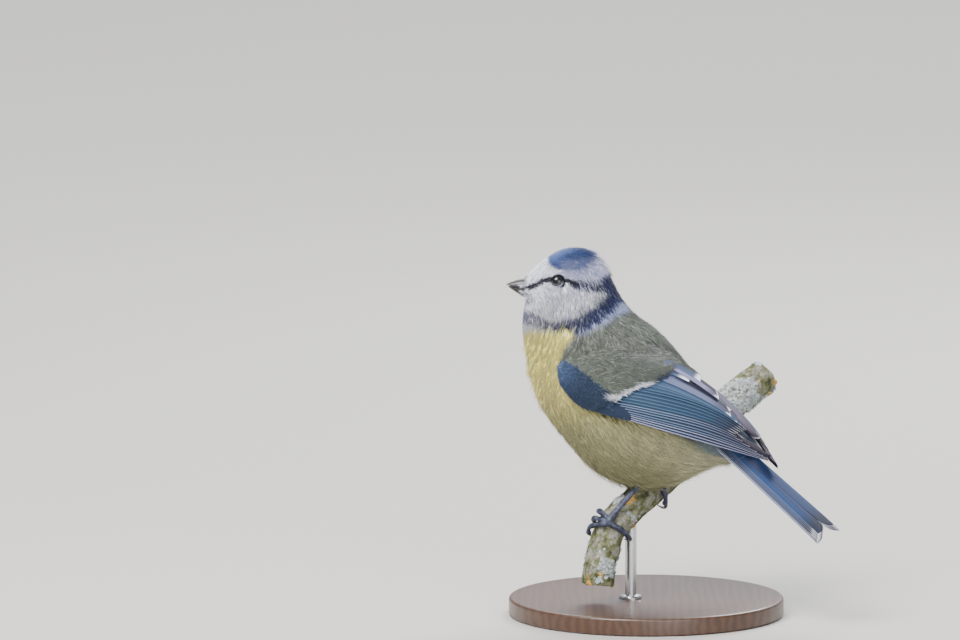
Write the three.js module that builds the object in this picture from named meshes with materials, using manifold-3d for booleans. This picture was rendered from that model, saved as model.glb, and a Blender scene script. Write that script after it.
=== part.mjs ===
// A blue tit perched on a short cut length of branch, held by a small display stand.
// Sizes are millimetres and +Z is up. The origin is the centre of the base's underside.
// The bird has a frame of its own: x runs forward, y to its left and z up.

import * as THREE from "three";
import { mergeVertices } from "three/addons/utils/BufferGeometryUtils.js";
import Module from "manifold-3d";

const wasm = await Module();
wasm.setup();

const DEG = Math.PI / 180;
const GAP = 0.3; // clearance between pieces that touch

// Pose of the bird over the base
const BIRD_AT = [-2, -2, 55.5];
const BIRD_HEADING = 155 * DEG;
const BODY_ROLL = 5.5 * DEG; // the left side is the lower one
const HEAD_TURN = 25 * DEG; // to the bird's left
const NECK_PIVOT = [14.3, 25]; // x and z of the axes that the head turns and levels about

// Profile of head, neck and torso, from the bill's base to the tail's base.
// top and bottom are x and z on the body's middle plane, half is the half-width,
// egg moves the widest place up (+) or down (-), turn is the share of the head's turn,
// back is 1 for a round back and less for a flatter one that meets the folded wings.
const STATIONS = [
  { top: [32.1, 37.0], bottom: [31.6, 33.1], half: 2.2, egg: 0, turn: 1, back: 1 },
  { top: [30.5, 39.6], bottom: [31.8, 30.7], half: 4.6, egg: 0, turn: 1, back: 1 },
  { top: [28.2, 41.9], bottom: [32.3, 28.0], half: 6.9, egg: -0.05, turn: 1, back: 1 },
  { top: [24.8, 44.4], bottom: [32.5, 25.4], half: 8.7, egg: -0.1, turn: 1, back: 1 },
  { top: [20.2, 46.4], bottom: [32.4, 22.6], half: 10.0, egg: -0.15, turn: 0.96, back: 1 },
  { top: [14.5, 46.1], bottom: [32.0, 19.4], half: 10.9, egg: -0.15, turn: 0.84, back: 1 },
  { top: [10.4, 43.1], bottom: [31.4, 16.0], half: 11.8, egg: -0.12, turn: 0.68, back: 1 },
  { top: [7.9, 38.0], bottom: [31.2, 12.2], half: 13.0, egg: -0.05, turn: 0.52, back: 1 },
  { top: [5.3, 32.4], bottom: [30.0, 7.8], half: 14.8, egg: 0, turn: 0.32, back: 1 },
  { top: [1.6, 28.0], bottom: [28.4, 3.0], half: 16.2, egg: 0, turn: 0.12, back: 0.95 },
  { top: [-3.8, 24.1], bottom: [25.5, -1.7], half: 17.3, egg: 0, turn: 0, back: 0.85 },
  { top: [-9.6, 17.8], bottom: [21.7, -6.1], half: 17.9, egg: 0, turn: 0, back: 0.75 },
  { top: [-14.2, 11.4], bottom: [17.8, -10.4], half: 17.8, egg: 0, turn: 0, back: 0.68 },
  { top: [-17.6, 7.0], bottom: [12.9, -14.9], half: 17.2, egg: 0, turn: 0, back: 0.62 },
  { top: [-20.4, 3.4], bottom: [6.6, -18.2], half: 16.0, egg: 0, turn: 0, back: 0.6 },
  { top: [-23.0, 0.2], bottom: [-0.8, -19.6], half: 14.4, egg: 0, turn: 0, back: 0.62 },
  { top: [-25.4, -3.2], bottom: [-8.4, -18.7], half: 12.4, egg: 0, turn: 0, back: 0.68 },
  { top: [-27.6, -6.0], bottom: [-15.2, -15.9], half: 9.8, egg: 0, turn: 0, back: 0.75 },
  { top: [-29.6, -8.2], bottom: [-21.4, -11.4], half: 7.2, egg: 0, turn: 0, back: 0.85 },
  { top: [-31.4, -9.8], bottom: [-27.2, -10.4], half: 4.6, egg: 0, turn: 0, back: 0.95 },
];
const RINGS_PER_STATION = 2;
const RING_POINTS = 28;
const HEAD_END = 6.5; // station where the head is parted from the neck
const NECK_END = 8.8; // station where the neck is parted from the torso

// Bill: x, top or bottom of the mandible, height of the cutting edge, half-width
const UPPER_BILL = [
  [29.5, 38.2, 34.4, 2.4],
  [31.5, 38.1, 34.8, 2.3],
  [33.0, 37.9, 35.2, 1.9],
  [34.5, 37.5, 35.6, 1.4],
  [36.1, 36.9, 36.0, 0.8],
  [37.1, 36.4, 36.2, 0.2],
];
const LOWER_BILL = [
  [29.5, 31.4, 34.4, 2.2],
  [31.5, 32.5, 34.8, 2.1],
  [33.0, 33.4, 35.2, 1.7],
  [34.5, 34.3, 35.6, 1.2],
  [35.8, 35.2, 35.9, 0.6],
  [36.5, 35.7, 36.0, 0.2],
];
const NOSTRIL = { x: 32.7, z: 36.9, radius: 0.35 };

// Eye
const EYE = { x: 22.7, z: 38.7, radius: 2.3, proud: 0.75 };
const LID = { radius: 2.35, thick: 0.45 };

// Outer face of the folded left wing, as rows from its back edge to its lower edge,
// each from the bend of the wing to the tip
const WING_ROWS = [
  [[13.4, 12.0, 22.2], [0.0, 11.0, 21.2], [-12.7, 4.8, 15.6], [-27.0, 3.0, 5.9], [-39.8, 1.8, -6.8]],
  [[17.2, 14.8, 17.8], [4.6, 18.4, 13.6], [-11.4, 17.9, 9.6], [-27.0, 11.6, 2.6], [-40.6, 2.8, -8.0]],
  [[17.2, 14.8, 12.9], [8.2, 18.6, 6.6], [-8.0, 19.2, 2.9], [-24.7, 13.4, -2.6], [-39.6, 3.4, -9.2]],
];
const RIGHT_WING_LOWER = [0.6, 3.0, 4.0, 4.8, 3.8]; // the right wing hangs a little lower
const WING_THICK = [4.0, 6.5, 7.5, 4.5, 1.2]; // from the bend to the tip, down to the body
const WING_CORE_LIFT = [0.7, -0.55]; // at the shoulder and under the flight feathers
const VANE_THICK = 0.55;

// Feathers of the folded wing, lowest layer first. from and to are places on the wing's
// outer face (along, down), half is the half-width, lift is the height of the outer face,
// crowd bunches the tips of the first feathers of a row together.
const PRIMARIES = {
  count: 7,
  from: [[0.3, 0.86], [0.34, 0.72]],
  to: [[1.0, 0.86], [0.83, 0.46]],
  half: 2.5,
  lift: [-0.25, 0.15],
  crowd: 1.7,
};
const SECONDARIES = {
  count: 5,
  from: [[0.32, 0.74], [0.34, 0.44]],
  to: [[0.8, 0.66], [0.86, 0.22]],
  half: 2.6,
  lift: [0.15, 0.5],
  crowd: 1,
};
const TERTIALS = [
  { from: [0.36, 0.36], to: [0.845, 0.14], half: 3.1, lift: 0.6 },
  { from: [0.33, 0.24], to: [0.785, 0.08], half: 3.4, lift: 0.8 },
  { from: [0.3, 0.12], to: [0.715, 0.02], half: 3.6, lift: 1.0 },
];
const PRIMARY_COVERTS = {
  count: 2,
  from: [[0.18, 0.86], [0.2, 0.76]],
  to: [[0.46, 0.94], [0.38, 0.82]],
  half: 1.7,
  lift: [0.4, 0.75],
  crowd: 1,
};
const GREATER_COVERTS = {
  count: 6,
  from: [[0.18, 0.8], [0.28, 0.22]],
  to: [[0.35, 0.76], [0.5, 0.28]],
  half: 2.1,
  lift: [0.8, 1.25],
  crowd: 1,
};

// Tail: root, direction down and back, and half-widths at the base and the end
const TAIL_ROOT = [-18.0, 1.6];
const TAIL_SLOPE = 39.3 * DEG;
const TAIL_LENGTH = 49.4;
const TAIL_HALF = [6.0, 8.0];
const TAIL_CORE = [2.6, 0.9]; // thickness at the base and where the core ends
const TAIL_CORE_LENGTH = 26;
const TAIL_PAIRS = 6;
const TAIL_FEATHER_HALF = 2.3;
const TAIL_FORK = 1.6; // the outer feathers are this much longer than the middle pair

// Perch: points on its axis in the part's frame, and its radius
const PERCH_AXIS = [
  [-13.5, -11.0, 10.1],
  [-13.0, -10.5, 14.8],
  [-11.3, -9.1, 21.5],
  [-9.7, -7.7, 25.5],
  [-6.4, -5.0, 28.7],
  [-2.0, -1.3, 32.4],
  [3.5, 3.3, 36.4],
  [9.0, 8.0, 41.7],
  [14.5, 12.6, 47.1],
  [24.1, 20.6, 56.2],
  [33.1, 28.2, 62.2],
];
const PERCH_RADIUS = [4.5, 4.4, 4.3, 4.3, 4.3, 4.3, 4.4, 4.5, 4.6, 4.8, 4.8];
const BARK_ROUGHNESS = 0.16;

// Legs: place along the perch, turn of the joint round it (0 is its upper side),
// and the ankle in the part's frame
const LEGS = {
  left: { along: 2.85, joint: -33 * DEG, ankle: [-0.4, -7.0, 39.6], side: 1 },
  right: { along: 5.6, joint: -52 * DEG, ankle: [3.6, -0.6, 43.0], side: -1 },
};
const TARSUS_RADIUS = 0.85;
const TOES = [
  { name: "inner", wrap: 92, spread: 3.6, radius: 0.75, claw: 3.4 },
  { name: "middle", wrap: 118, spread: 0.4, radius: 0.8, claw: 3.8 },
  { name: "outer", wrap: 96, spread: -3.0, radius: 0.75, claw: 3.4 },
  { name: "hind", wrap: -84, spread: 0, radius: 0.85, claw: 4.8 },
];

// Stand
const BASE_RADIUS = 38;
const BASE_THICK = 5;
const BASE_EDGE = 0.8;
const ROD_RADIUS = 1.6;
const ROD_ALONG = 4.5; // place along the perch

// Repeatable random numbers, for small natural differences
function seeded(seed) {
  let state = seed;
  return () => {
    state = (state * 16807) % 2147483647;
    return state / 2147483647;
  };
}

// A smooth value at place t among evenly spaced values (numbers or lists of numbers)
function smoothAt(values, t) {
  const last = values.length - 1;
  const i = Math.min(Math.max(Math.floor(t), 0), last - 1);
  const f = t - i;
  const pick = (k) => values[Math.min(Math.max(k, 0), last)];
  const [p0, p1, p2, p3] = [pick(i - 1), pick(i), pick(i + 1), pick(i + 2)];
  const one = (a, b, c, d) =>
    0.5 * (2 * b + (c - a) * f + (2 * a - 5 * b + 4 * c - d) * f * f + (3 * b - a - 3 * c + d) * f ** 3);
  return Array.isArray(p1) ? p1.map((_, k) => one(p0[k], p1[k], p2[k], p3[k])) : one(p0, p1, p2, p3);
}

const mix = (a, b, t) => a + (b - a) * t;
const vec = (p) => new THREE.Vector3(p[0], p[1], p[2]);

// A closed surface over rings of points, capped by a fan at each end.
// Quads for which flips(k) is true take their other diagonal.
function loft(rings, flips = () => false) {
  const count = rings[0].length;
  const positions = rings.flat().flatMap((p) => [p.x, p.y, p.z]);
  const faces = [];
  for (let j = 0; j + 1 < rings.length; j++)
    for (let k = 0; k < count; k++) {
      const [a, b] = [j * count + k, j * count + ((k + 1) % count)];
      const [c, d] = [a + count, b + count];
      if (flips(k)) faces.push(a, c, b, b, c, d);
      else faces.push(a, d, b, a, c, d);
    }
  for (const [ring, flip] of [[0, false], [rings.length - 1, true]]) {
    const centre = rings[ring].reduce((sum, p) => sum.add(p), new THREE.Vector3());
    centre.divideScalar(count);
    const middle = positions.length / 3;
    positions.push(centre.x, centre.y, centre.z);
    for (let k = 0; k < count; k++) {
      const [a, b] = [ring * count + k, ring * count + ((k + 1) % count)];
      faces.push(middle, ...(flip ? [b, a] : [a, b]));
    }
  }
  const geometry = new THREE.BufferGeometry();
  geometry.setAttribute("position", new THREE.Float32BufferAttribute(positions, 3));
  geometry.setIndex(faces);
  return geometry;
}

// A three.js geometry as a solid, facing out whichever way its faces were given
function solid(geometry) {
  const bare = geometry.clone();
  for (const name of ["normal", "uv"]) bare.deleteAttribute(name);
  const merged = mergeVertices(bare, 1e-4);
  const make = (triVerts) =>
    new wasm.Manifold(
      new wasm.Mesh({ numProp: 3, vertProperties: merged.attributes.position.array, triVerts }),
    );
  const triVerts = new Uint32Array(merged.index.array);
  const made = make(triVerts);
  if (made.volume() > 0) return made;
  return make(triVerts.reverse());
}

// The largest closed surface of a solid
function largest(made) {
  return made.decompose().reduce((best, part) => (part.volume() > best.volume() ? part : best));
}

function geometryOf(made) {
  const mesh = made.getMesh();
  const stride = mesh.numProp;
  const positions = new Float32Array(mesh.numVert * 3);
  for (let i = 0; i < mesh.numVert; i++)
    positions.set(mesh.vertProperties.subarray(i * stride, i * stride + 3), i * 3);
  const geometry = new THREE.BufferGeometry();
  geometry.setAttribute("position", new THREE.BufferAttribute(positions, 3));
  geometry.setIndex(new THREE.BufferAttribute(new Uint32Array(mesh.triVerts), 1));
  geometry.computeVertexNormals();
  return geometry;
}

// The bird's own frame and the part's frame
const birdFrame = new THREE.Matrix4().makeRotationFromEuler(
  new THREE.Euler(-BODY_ROLL, 0, BIRD_HEADING, "ZYX"),
);
birdFrame.setPosition(...BIRD_AT);
const toPart = (made) => made.transform(birdFrame.elements);

// Turns a point of the untwisted bird with the head: round the neck, then back to level
function twist(point, turn) {
  const [px, pz] = NECK_PIVOT;
  point.sub(new THREE.Vector3(px, 0, pz));
  point.applyAxisAngle(new THREE.Vector3(0, 0, 1), HEAD_TURN * turn);
  point.applyAxisAngle(new THREE.Vector3(1, 0, 0), BODY_ROLL * turn);
  return point.add(new THREE.Vector3(px, 0, pz));
}

// A point of the body's surface: s is the station, angle runs from the top down the left side
function bodyPoint(s, angle, straight = false) {
  const at = (key) => smoothAt(STATIONS.map((station) => station[key]), s);
  const [top, bottom] = [at("top"), at("bottom")];
  const up = Math.cos(angle);
  const out = Math.sin(angle);
  const round = up > 0 ? Math.sign(out) * Math.abs(out) ** at("back") : out;
  const point = new THREE.Vector3(
    mix(bottom[0], top[0], (1 + up) / 2),
    at("half") * round * (1 + at("egg") * up),
    mix(bottom[1], top[1], (1 + up) / 2),
  );
  return straight ? point : twist(point, at("turn"));
}

function bodyNormal(s, angle) {
  const step = 0.01;
  const along = bodyPoint(s + step, angle).sub(bodyPoint(s - step, angle));
  const round = bodyPoint(s, angle + step).sub(bodyPoint(s, angle - step));
  return along.cross(round).normalize();
}

// The whole body from the bill's base to the tail's base, grown outwards by a clearance
function bodySolid(grow = 0) {
  const rings = [];
  const last = STATIONS.length - 1;
  for (let j = 0; j <= last * RINGS_PER_STATION; j++) {
    const s = j / RINGS_PER_STATION;
    const ring = [];
    for (let k = 0; k < RING_POINTS; k++) {
      const angle = (k / RING_POINTS) * 2 * Math.PI;
      const point = bodyPoint(s, angle);
      if (grow) {
        const inside = Math.min(Math.max(s, 0.02), last - 0.02);
        point.addScaledVector(bodyNormal(inside, angle), -grow);
      }
      ring.push(point);
    }
    rings.push(ring);
  }
  if (grow) {
    rings[0].forEach((point) => point.add(twistedAxis(0).multiplyScalar(grow)));
    rings[rings.length - 1].forEach((point) => point.add(twistedAxis(last).multiplyScalar(-grow)));
  }
  return solid(loft(rings));
}

// Direction of the body's length at a station, towards the bill
function twistedAxis(s) {
  const centre = (at) => bodyPoint(at, 0).add(bodyPoint(at, Math.PI)).multiplyScalar(0.5);
  return centre(s - 0.05).sub(centre(s + 0.05)).normalize();
}

// A thin flat cut across the body at a station
function cutAt(s) {
  const centre = bodyPoint(s, 0).add(bodyPoint(s, Math.PI)).multiplyScalar(0.5);
  const tall = bodyPoint(s, 0).sub(bodyPoint(s, Math.PI)).normalize();
  const wide = bodyPoint(s, Math.PI / 2).sub(bodyPoint(s, -Math.PI / 2)).normalize();
  const through = new THREE.Vector3().crossVectors(tall, wide).normalize();
  const slab = new THREE.BoxGeometry(80, 80, GAP);
  const side = new THREE.Vector3().crossVectors(tall, through);
  slab.applyMatrix4(new THREE.Matrix4().makeBasis(side, tall, through).setPosition(centre));
  return solid(slab);
}

// The part of the untwisted side of the body that lies at x and z: its station and angle
function placeOnSide(x, z) {
  let best = { far: Infinity };
  for (let s = 0; s <= 8; s += 0.05)
    for (let angle = 10 * DEG; angle < 170 * DEG; angle += DEG) {
      const point = bodyPoint(s, angle, true);
      const far = Math.hypot(point.x - x, point.z - z);
      if (far < best.far) best = { far, s, angle };
    }
  return best;
}

// Eyeball centre and the direction it looks in, for the left (1) or right (-1) eye
function eyePlace(side) {
  const { s, angle } = placeOnSide(EYE.x, EYE.z);
  const look = bodyNormal(s, angle * side).negate();
  return { centre: bodyPoint(s, angle * side).addScaledVector(look, EYE.proud - EYE.radius), look };
}

function eyeball(side, radius) {
  const { centre } = eyePlace(side);
  return solid(new THREE.SphereGeometry(radius, 18, 10)).translate(centre.toArray());
}

// Ring of lids round the eye, a little higher than the feathers
function lids(side) {
  const { centre, look } = eyePlace(side);
  const ring = new THREE.TorusGeometry(LID.radius, LID.thick, 6, 20);
  ring.applyQuaternion(new THREE.Quaternion().setFromUnitVectors(new THREE.Vector3(0, 0, 1), look));
  return solid(ring).translate(centre.addScaledVector(look, EYE.radius - EYE.proud).toArray());
}

// Half of the bill: an arch over the flat cutting edge, or a keel under it
function mandible(stations, edgeLift) {
  const rings = stations.map(([x, outer, edge, half]) => {
    const flat = edge + edgeLift;
    const ring = [];
    for (let k = 0; k <= 8; k++) {
      const angle = (k / 8) * Math.PI;
      const point = new THREE.Vector3(x, half * Math.cos(angle), mix(flat, outer, Math.sin(angle)));
      ring.push(twist(point, 1));
    }
    return ring;
  });
  return solid(loft(rings));
}

// Outer face of a wing on the left: along is 0 at the bend and 1 at the tip, down is 0 at the
// back edge, lower is how far each column of the rows is let down
function wingFace(lower) {
  const table = WING_ROWS.map((row) => row.map(([x, y, z], i) => [x, y, z - lower[i]]));
  const point = (along, down) => {
    const rows = table.map((row) => smoothAt(row, along * (row.length - 1)));
    return vec(smoothAt(rows, down * (rows.length - 1)));
  };
  const normal = (along, down) => {
    const step = 0.02;
    const back = point(along + step, down).sub(point(along - step, down));
    const across = point(along, down + step).sub(point(along, down - step));
    return across.cross(back).normalize();
  };
  return { point, normal };
}

// Section of a feather: two edges and the shaft's ridge on top, a flat underside.
// Rings run from root to tip; the last one is narrow.
function vane(points, normals, halves, thick, ridge = 0.12) {
  const last = points.length - 1;
  const rings = points.map((point, i) => {
    const along = points[Math.min(i + 1, last)].clone().sub(points[Math.max(i - 1, 0)]).normalize();
    const up = normals[i];
    const side = new THREE.Vector3().crossVectors(up, along).normalize();
    const deep = thick * (i === last ? 0.6 : 1);
    const place = (across, lift) =>
      point.clone().addScaledVector(side, across * halves[i]).addScaledVector(up, lift);
    const face = [place(-1, -0.06), place(0, ridge), place(1, -0.06)];
    return [...face, place(1, -deep), place(0, -deep), place(-1, -deep)];
  });
  return solid(loft(rings, (k) => k >= 3));
}

// A wing feather that lies on the wing's face from one place to another
function wingFeather(face, { from, to, half, lift }) {
  const shape = [[0, 0.6], [0.35, 1], [0.86, 0.86], [1, 0.3]];
  const points = [];
  const normals = [];
  const halves = [];
  for (const [u, share] of shape) {
    const [along, down] = [mix(from[0], to[0], u), mix(from[1], to[1], u)];
    const normal = face.normal(along, down);
    const narrow = mix(1, 0.62, Math.max(0, along - 0.5) * 2);
    points.push(face.point(along, down).addScaledVector(normal, lift - 0.9 * (1 - Math.min(1, u * 4))));
    normals.push(normal);
    halves.push(half * share * narrow);
  }
  return vane(points, normals, halves, VANE_THICK);
}

// A row of feathers of one kind, spread evenly from the lowest to the highest
function featherRow(face, { count, from, to, half, lift, crowd }) {
  const between = (ends, u) => [mix(ends[0][0], ends[1][0], u), mix(ends[0][1], ends[1][1], u)];
  return Array.from({ length: count }, (_, i) => {
    const u = i / (count - 1);
    const [start, end] = [between(from, u), between(to, u ** crowd)];
    return wingFeather(face, { from: start, to: end, half, lift: mix(lift[0], lift[1], u) });
  });
}

// Core of the folded wing, under its feathers
function wingCore(face) {
  const [alongSteps, downSteps] = [10, 5];
  const reach = 0.88;
  const rings = [];
  for (let i = 0; i <= alongSteps; i++) {
    const along = (i / alongSteps) * reach;
    const thick = smoothAt(WING_THICK, along * (WING_THICK.length - 1));
    const lift = mix(WING_CORE_LIFT[0], WING_CORE_LIFT[1], Math.min(1, along / 0.4));
    const ring = [];
    for (const [start, sink] of [[0, 0], [downSteps, thick]])
      for (let j = 0; j <= downSteps; j++) {
        const down = mix(0.02, 0.97, Math.abs(start - j) / downSteps);
        ring.push(face.point(along, down).addScaledVector(face.normal(along, down), lift - sink));
      }
    rings.push(ring);
  }
  return solid(loft(rings, (k) => k > downSteps));
}

function wingSolid(lower) {
  const face = wingFace(lower);
  const rows = [
    ...featherRow(face, PRIMARIES),
    ...featherRow(face, SECONDARIES),
    ...TERTIALS.map((feather) => wingFeather(face, feather)),
    ...featherRow(face, PRIMARY_COVERTS),
    ...featherRow(face, GREATER_COVERTS),
  ];
  return rows.reduce((sum, feather) => sum.add(feather), wingCore(face));
}

// A point in the tail: distance from its root, place across and height
function tailPoint(distance, across, height) {
  const half = mix(TAIL_HALF[0], TAIL_HALF[1], distance / TAIL_LENGTH);
  const side = across / half;
  return new THREE.Vector3(
    TAIL_ROOT[0] - Math.cos(TAIL_SLOPE) * distance - Math.sin(TAIL_SLOPE) * (height - 0.9 * side * side),
    across,
    TAIL_ROOT[1] - Math.sin(TAIL_SLOPE) * distance + Math.cos(TAIL_SLOPE) * (height - 0.9 * side * side),
  );
}

function tailCore() {
  const [steps, cells] = [4, 4];
  const rings = [];
  for (let i = 0; i <= steps; i++) {
    const distance = (i / steps) * TAIL_CORE_LENGTH;
    const half = mix(TAIL_HALF[0], TAIL_HALF[1], distance / TAIL_LENGTH) * 0.9;
    const thick = mix(TAIL_CORE[0], TAIL_CORE[1], i / steps);
    const ring = [];
    for (const [start, height] of [[0, -0.1], [cells, -0.1 - thick]])
      for (let j = 0; j <= cells; j++)
        ring.push(tailPoint(distance, ((Math.abs(start - j) / cells) * 2 - 1) * half, height));
    rings.push(ring);
  }
  return solid(loft(rings, (k) => k > cells));
}

// One tail feather: pair 0 is the middle pair and lies on top
function tailFeather(pair, side) {
  const rank = (pair + (side > 0 ? 0.5 : 0)) / TAIL_PAIRS;
  const shape = [[0, 0.6], [0.35, 1], [0.75, 1.05], [0.95, 0.85], [1, 0.4]];
  const length = TAIL_LENGTH - TAIL_FORK * (1 - pair / (TAIL_PAIRS - 1));
  const points = [];
  const normals = [];
  const halves = [];
  for (const [u, share] of shape) {
    const distance = u * length;
    const room = mix(TAIL_HALF[0], TAIL_HALF[1], distance / TAIL_LENGTH) - TAIL_FEATHER_HALF * 0.9;
    const across = side * mix(0.25, room, pair / (TAIL_PAIRS - 1));
    points.push(tailPoint(distance, across, 0.7 - 1.0 * rank));
    normals.push(new THREE.Vector3(-Math.sin(TAIL_SLOPE), 0.12 * across, Math.cos(TAIL_SLOPE)).normalize());
    halves.push(TAIL_FEATHER_HALF * share);
  }
  return vane(points, normals, halves, VANE_THICK);
}

function tailSolid() {
  let tail = tailCore();
  for (let pair = 0; pair < TAIL_PAIRS; pair++)
    for (const side of [1, -1]) tail = tail.add(tailFeather(pair, side));
  return tail;
}

// Perch: axis point, direction, the way the toes go over it, and its upper side, at a place along it
function perchFrame(t) {
  const point = vec(smoothAt(PERCH_AXIS, t));
  const along = vec(smoothAt(PERCH_AXIS, t + 0.05)).sub(vec(smoothAt(PERCH_AXIS, t - 0.05))).normalize();
  const over = new THREE.Vector3(-along.y, along.x, 0).normalize();
  const top = new THREE.Vector3().crossVectors(along, over).normalize();
  return { point, along, over, top, radius: smoothAt(PERCH_RADIUS, t) };
}

function perchSolid(grow = 0) {
  const random = seeded(7);
  const rings = [];
  const steps = 24;
  for (let i = 0; i <= steps; i++) {
    const t = (i / steps) * (PERCH_AXIS.length - 1);
    const { point, over, top, radius } = perchFrame(t);
    const ring = [];
    for (let k = 0; k < 12; k++) {
      const angle = (k / 12) * 2 * Math.PI;
      const r = radius + (random() - 0.5) * 2 * BARK_ROUGHNESS + grow;
      ring.push(
        point.clone().addScaledVector(over, r * Math.cos(angle)).addScaledVector(top, r * Math.sin(angle)),
      );
    }
    rings.push(ring);
  }
  return solid(loft(rings));
}

// A round tube through points, with a radius at each
function tube(points, radii, sides) {
  const rings = points.map((point, i) => {
    const ahead = points[Math.min(i + 1, points.length - 1)];
    const behind = points[Math.max(i - 1, 0)];
    const along = ahead.clone().sub(behind).normalize();
    const seed = Math.abs(along.z) < 0.8 ? new THREE.Vector3(0, 0, 1) : new THREE.Vector3(0, 1, 0);
    const u = new THREE.Vector3().crossVectors(along, seed).normalize();
    const v = new THREE.Vector3().crossVectors(along, u);
    return Array.from({ length: sides }, (_, k) => {
      const angle = (k / sides) * 2 * Math.PI;
      return point
        .clone()
        .addScaledVector(u, radii[i] * Math.cos(angle))
        .addScaledVector(v, radii[i] * Math.sin(angle));
    });
  });
  return solid(loft(rings));
}

// A point just off the bark: height above it, angle over it and shift along it
function onBark(t, angle, shift, height) {
  const { point, along, over, top, radius } = perchFrame(t);
  const reach = radius + BARK_ROUGHNESS + GAP + height;
  return point
    .clone()
    .addScaledVector(along, shift)
    .addScaledVector(top, reach * Math.cos(angle))
    .addScaledVector(over, reach * Math.sin(angle));
}

// A toe from the foot's knuckle round the perch, with its pads between the joints
function toe(leg, { wrap, spread, radius }, grow) {
  const steps = grow ? 4 : 7;
  const points = [];
  const radii = [];
  for (let i = 0; i <= steps; i++) {
    const u = i / steps;
    const pad = 0.13 * (grow ? 1 : Math.cos(u * 4 * Math.PI));
    const thick = radius * (1 - 0.22 * u) * (1 + pad);
    points.push(onBark(leg.along, leg.joint + wrap * DEG * u, spread * leg.side * Math.sqrt(u), thick));
    radii.push(thick + grow);
  }
  return tube(points, radii, 6);
}

// The claw beyond a toe's end: an arch whose point comes back to the bark
function claw(leg, { wrap, spread, radius, claw: length }, grow) {
  const steps = grow ? 3 : 6;
  const reach = smoothAt(PERCH_RADIUS, leg.along) + 1.2;
  const way = Math.sign(wrap);
  const start = leg.joint + wrap * DEG + (way * (GAP - grow)) / reach;
  const root = radius * 0.74;
  const points = [];
  const radii = [];
  for (let i = 0; i <= steps; i++) {
    const u = i / steps;
    const angle = start + (way * length * u) / reach;
    const height = mix(radius * 0.8, 0.15, u ** 2) + 0.9 * Math.sin(Math.PI * u ** 0.8);
    points.push(onBark(leg.along, angle, spread * leg.side, height));
    radii.push(mix(root, 0.14, u ** 1.2) + grow);
  }
  return tube(points, radii, 6);
}

// Shank with its raised scutes, from the ankle down to the knuckle
function shank(leg, grow) {
  const knuckle = onBark(leg.along, leg.joint, 0, 1.0);
  const ankle = vec(leg.ankle);
  const steps = grow ? 2 : 12;
  const points = [];
  const radii = [];
  for (let i = 0; i <= steps; i++) {
    const u = i / steps;
    points.push(ankle.clone().lerp(knuckle, u));
    const flare = 0.35 * Math.max(0, (u - 0.75) / 0.25) + 0.3 * Math.max(0, (0.15 - u) / 0.15);
    radii.push(TARSUS_RADIUS + flare + (i % 2 || grow ? 0.07 : -0.03) + grow);
  }
  return tube(points, radii, 7);
}

// Shank and toes as one solid, or the simple pocket for them in the feathers when grown
function foot(leg, grow = 0) {
  return TOES.reduce((sum, each) => sum.add(toe(leg, each, grow)), shank(leg, grow));
}

const FEATHER = { olive: 0x7f8467, blue: 0x3f618c, pale: 0xd9dbe4, yellow: 0xcdbd6b, tailBlue: 0x4a76ab };
const finish = (color, roughness, metalness = 0) =>
  new THREE.MeshStandardMaterial({ color, roughness, metalness });

function node(name, made, material) {
  const mesh = new THREE.Mesh(geometryOf(made), material);
  mesh.name = name;
  return mesh;
}

function buildHead(head, clear) {
  const group = new THREE.Group();
  for (const [name, side] of [["left", 1], ["right", -1]]) {
    head = head.add(lids(side)).subtract(eyeball(side, EYE.radius + GAP));
    group.add(node("eye_" + name, toPart(eyeball(side, EYE.radius)), finish(0x15120f, 0.08)));
  }
  group.add(node("head", toPart(largest(head)), finish(FEATHER.pale, 0.85)));

  let upper = mandible(UPPER_BILL, GAP / 2).subtract(clear);
  for (const side of [1, -1]) {
    const pit = new THREE.SphereGeometry(NOSTRIL.radius, 8, 6);
    const place = twist(new THREE.Vector3(NOSTRIL.x, 1.85 * side, NOSTRIL.z), 1);
    upper = upper.subtract(solid(pit).translate(place.toArray()));
  }
  const lower = mandible(LOWER_BILL, -GAP / 2).subtract(clear);
  group.add(node("bill_upper", toPart(largest(upper)), finish(0x56565c, 0.4)));
  group.add(node("bill_lower", toPart(largest(lower)), finish(0x26262a, 0.4)));
  return group;
}

function buildBird() {
  const group = new THREE.Group();
  const clear = bodySolid(GAP);
  const parted = bodySolid().subtract(cutAt(HEAD_END)).subtract(cutAt(NECK_END));
  const [head, neck, torso] = parted
    .decompose()
    .sort((a, b) => b.boundingBox().max[2] - a.boundingBox().max[2]);
  group.add(buildHead(head, clear));
  group.add(node("neck", toPart(neck), finish(0x2b3a5c, 0.85)));
  let seated = toPart(torso).subtract(perchSolid(GAP));
  seated = seated.subtract(shank(LEGS.left, GAP)).subtract(foot(LEGS.right, GAP));
  for (const each of TOES) seated = seated.subtract(claw(LEGS.right, each, GAP));
  seated = largest(seated);
  group.add(node("torso", seated, finish(FEATHER.yellow, 0.85)));

  const behind = torso.translate([-GAP, 0, -GAP]);
  const tail = largest(tailSolid().subtract(clear).subtract(torso).subtract(behind));
  const overTail = tail.add(tail.translate([0, 0, GAP])).add(tail.translate([0, -GAP, 0]));
  const left = largest(wingSolid([0, 0, 0, 0, 0]).subtract(clear));
  const low = wingSolid(RIGHT_WING_LOWER).mirror([0, 1, 0]).subtract(clear);
  const right = largest(low.subtract(overTail));
  group.add(node("wing_left", toPart(left), finish(FEATHER.blue, 0.7)));
  group.add(node("wing_right", toPart(right), finish(FEATHER.blue, 0.7)));

  group.add(node("tail", toPart(tail), finish(FEATHER.tailBlue, 0.65)));
  group.add(buildLegs());
  return group;
}

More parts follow.
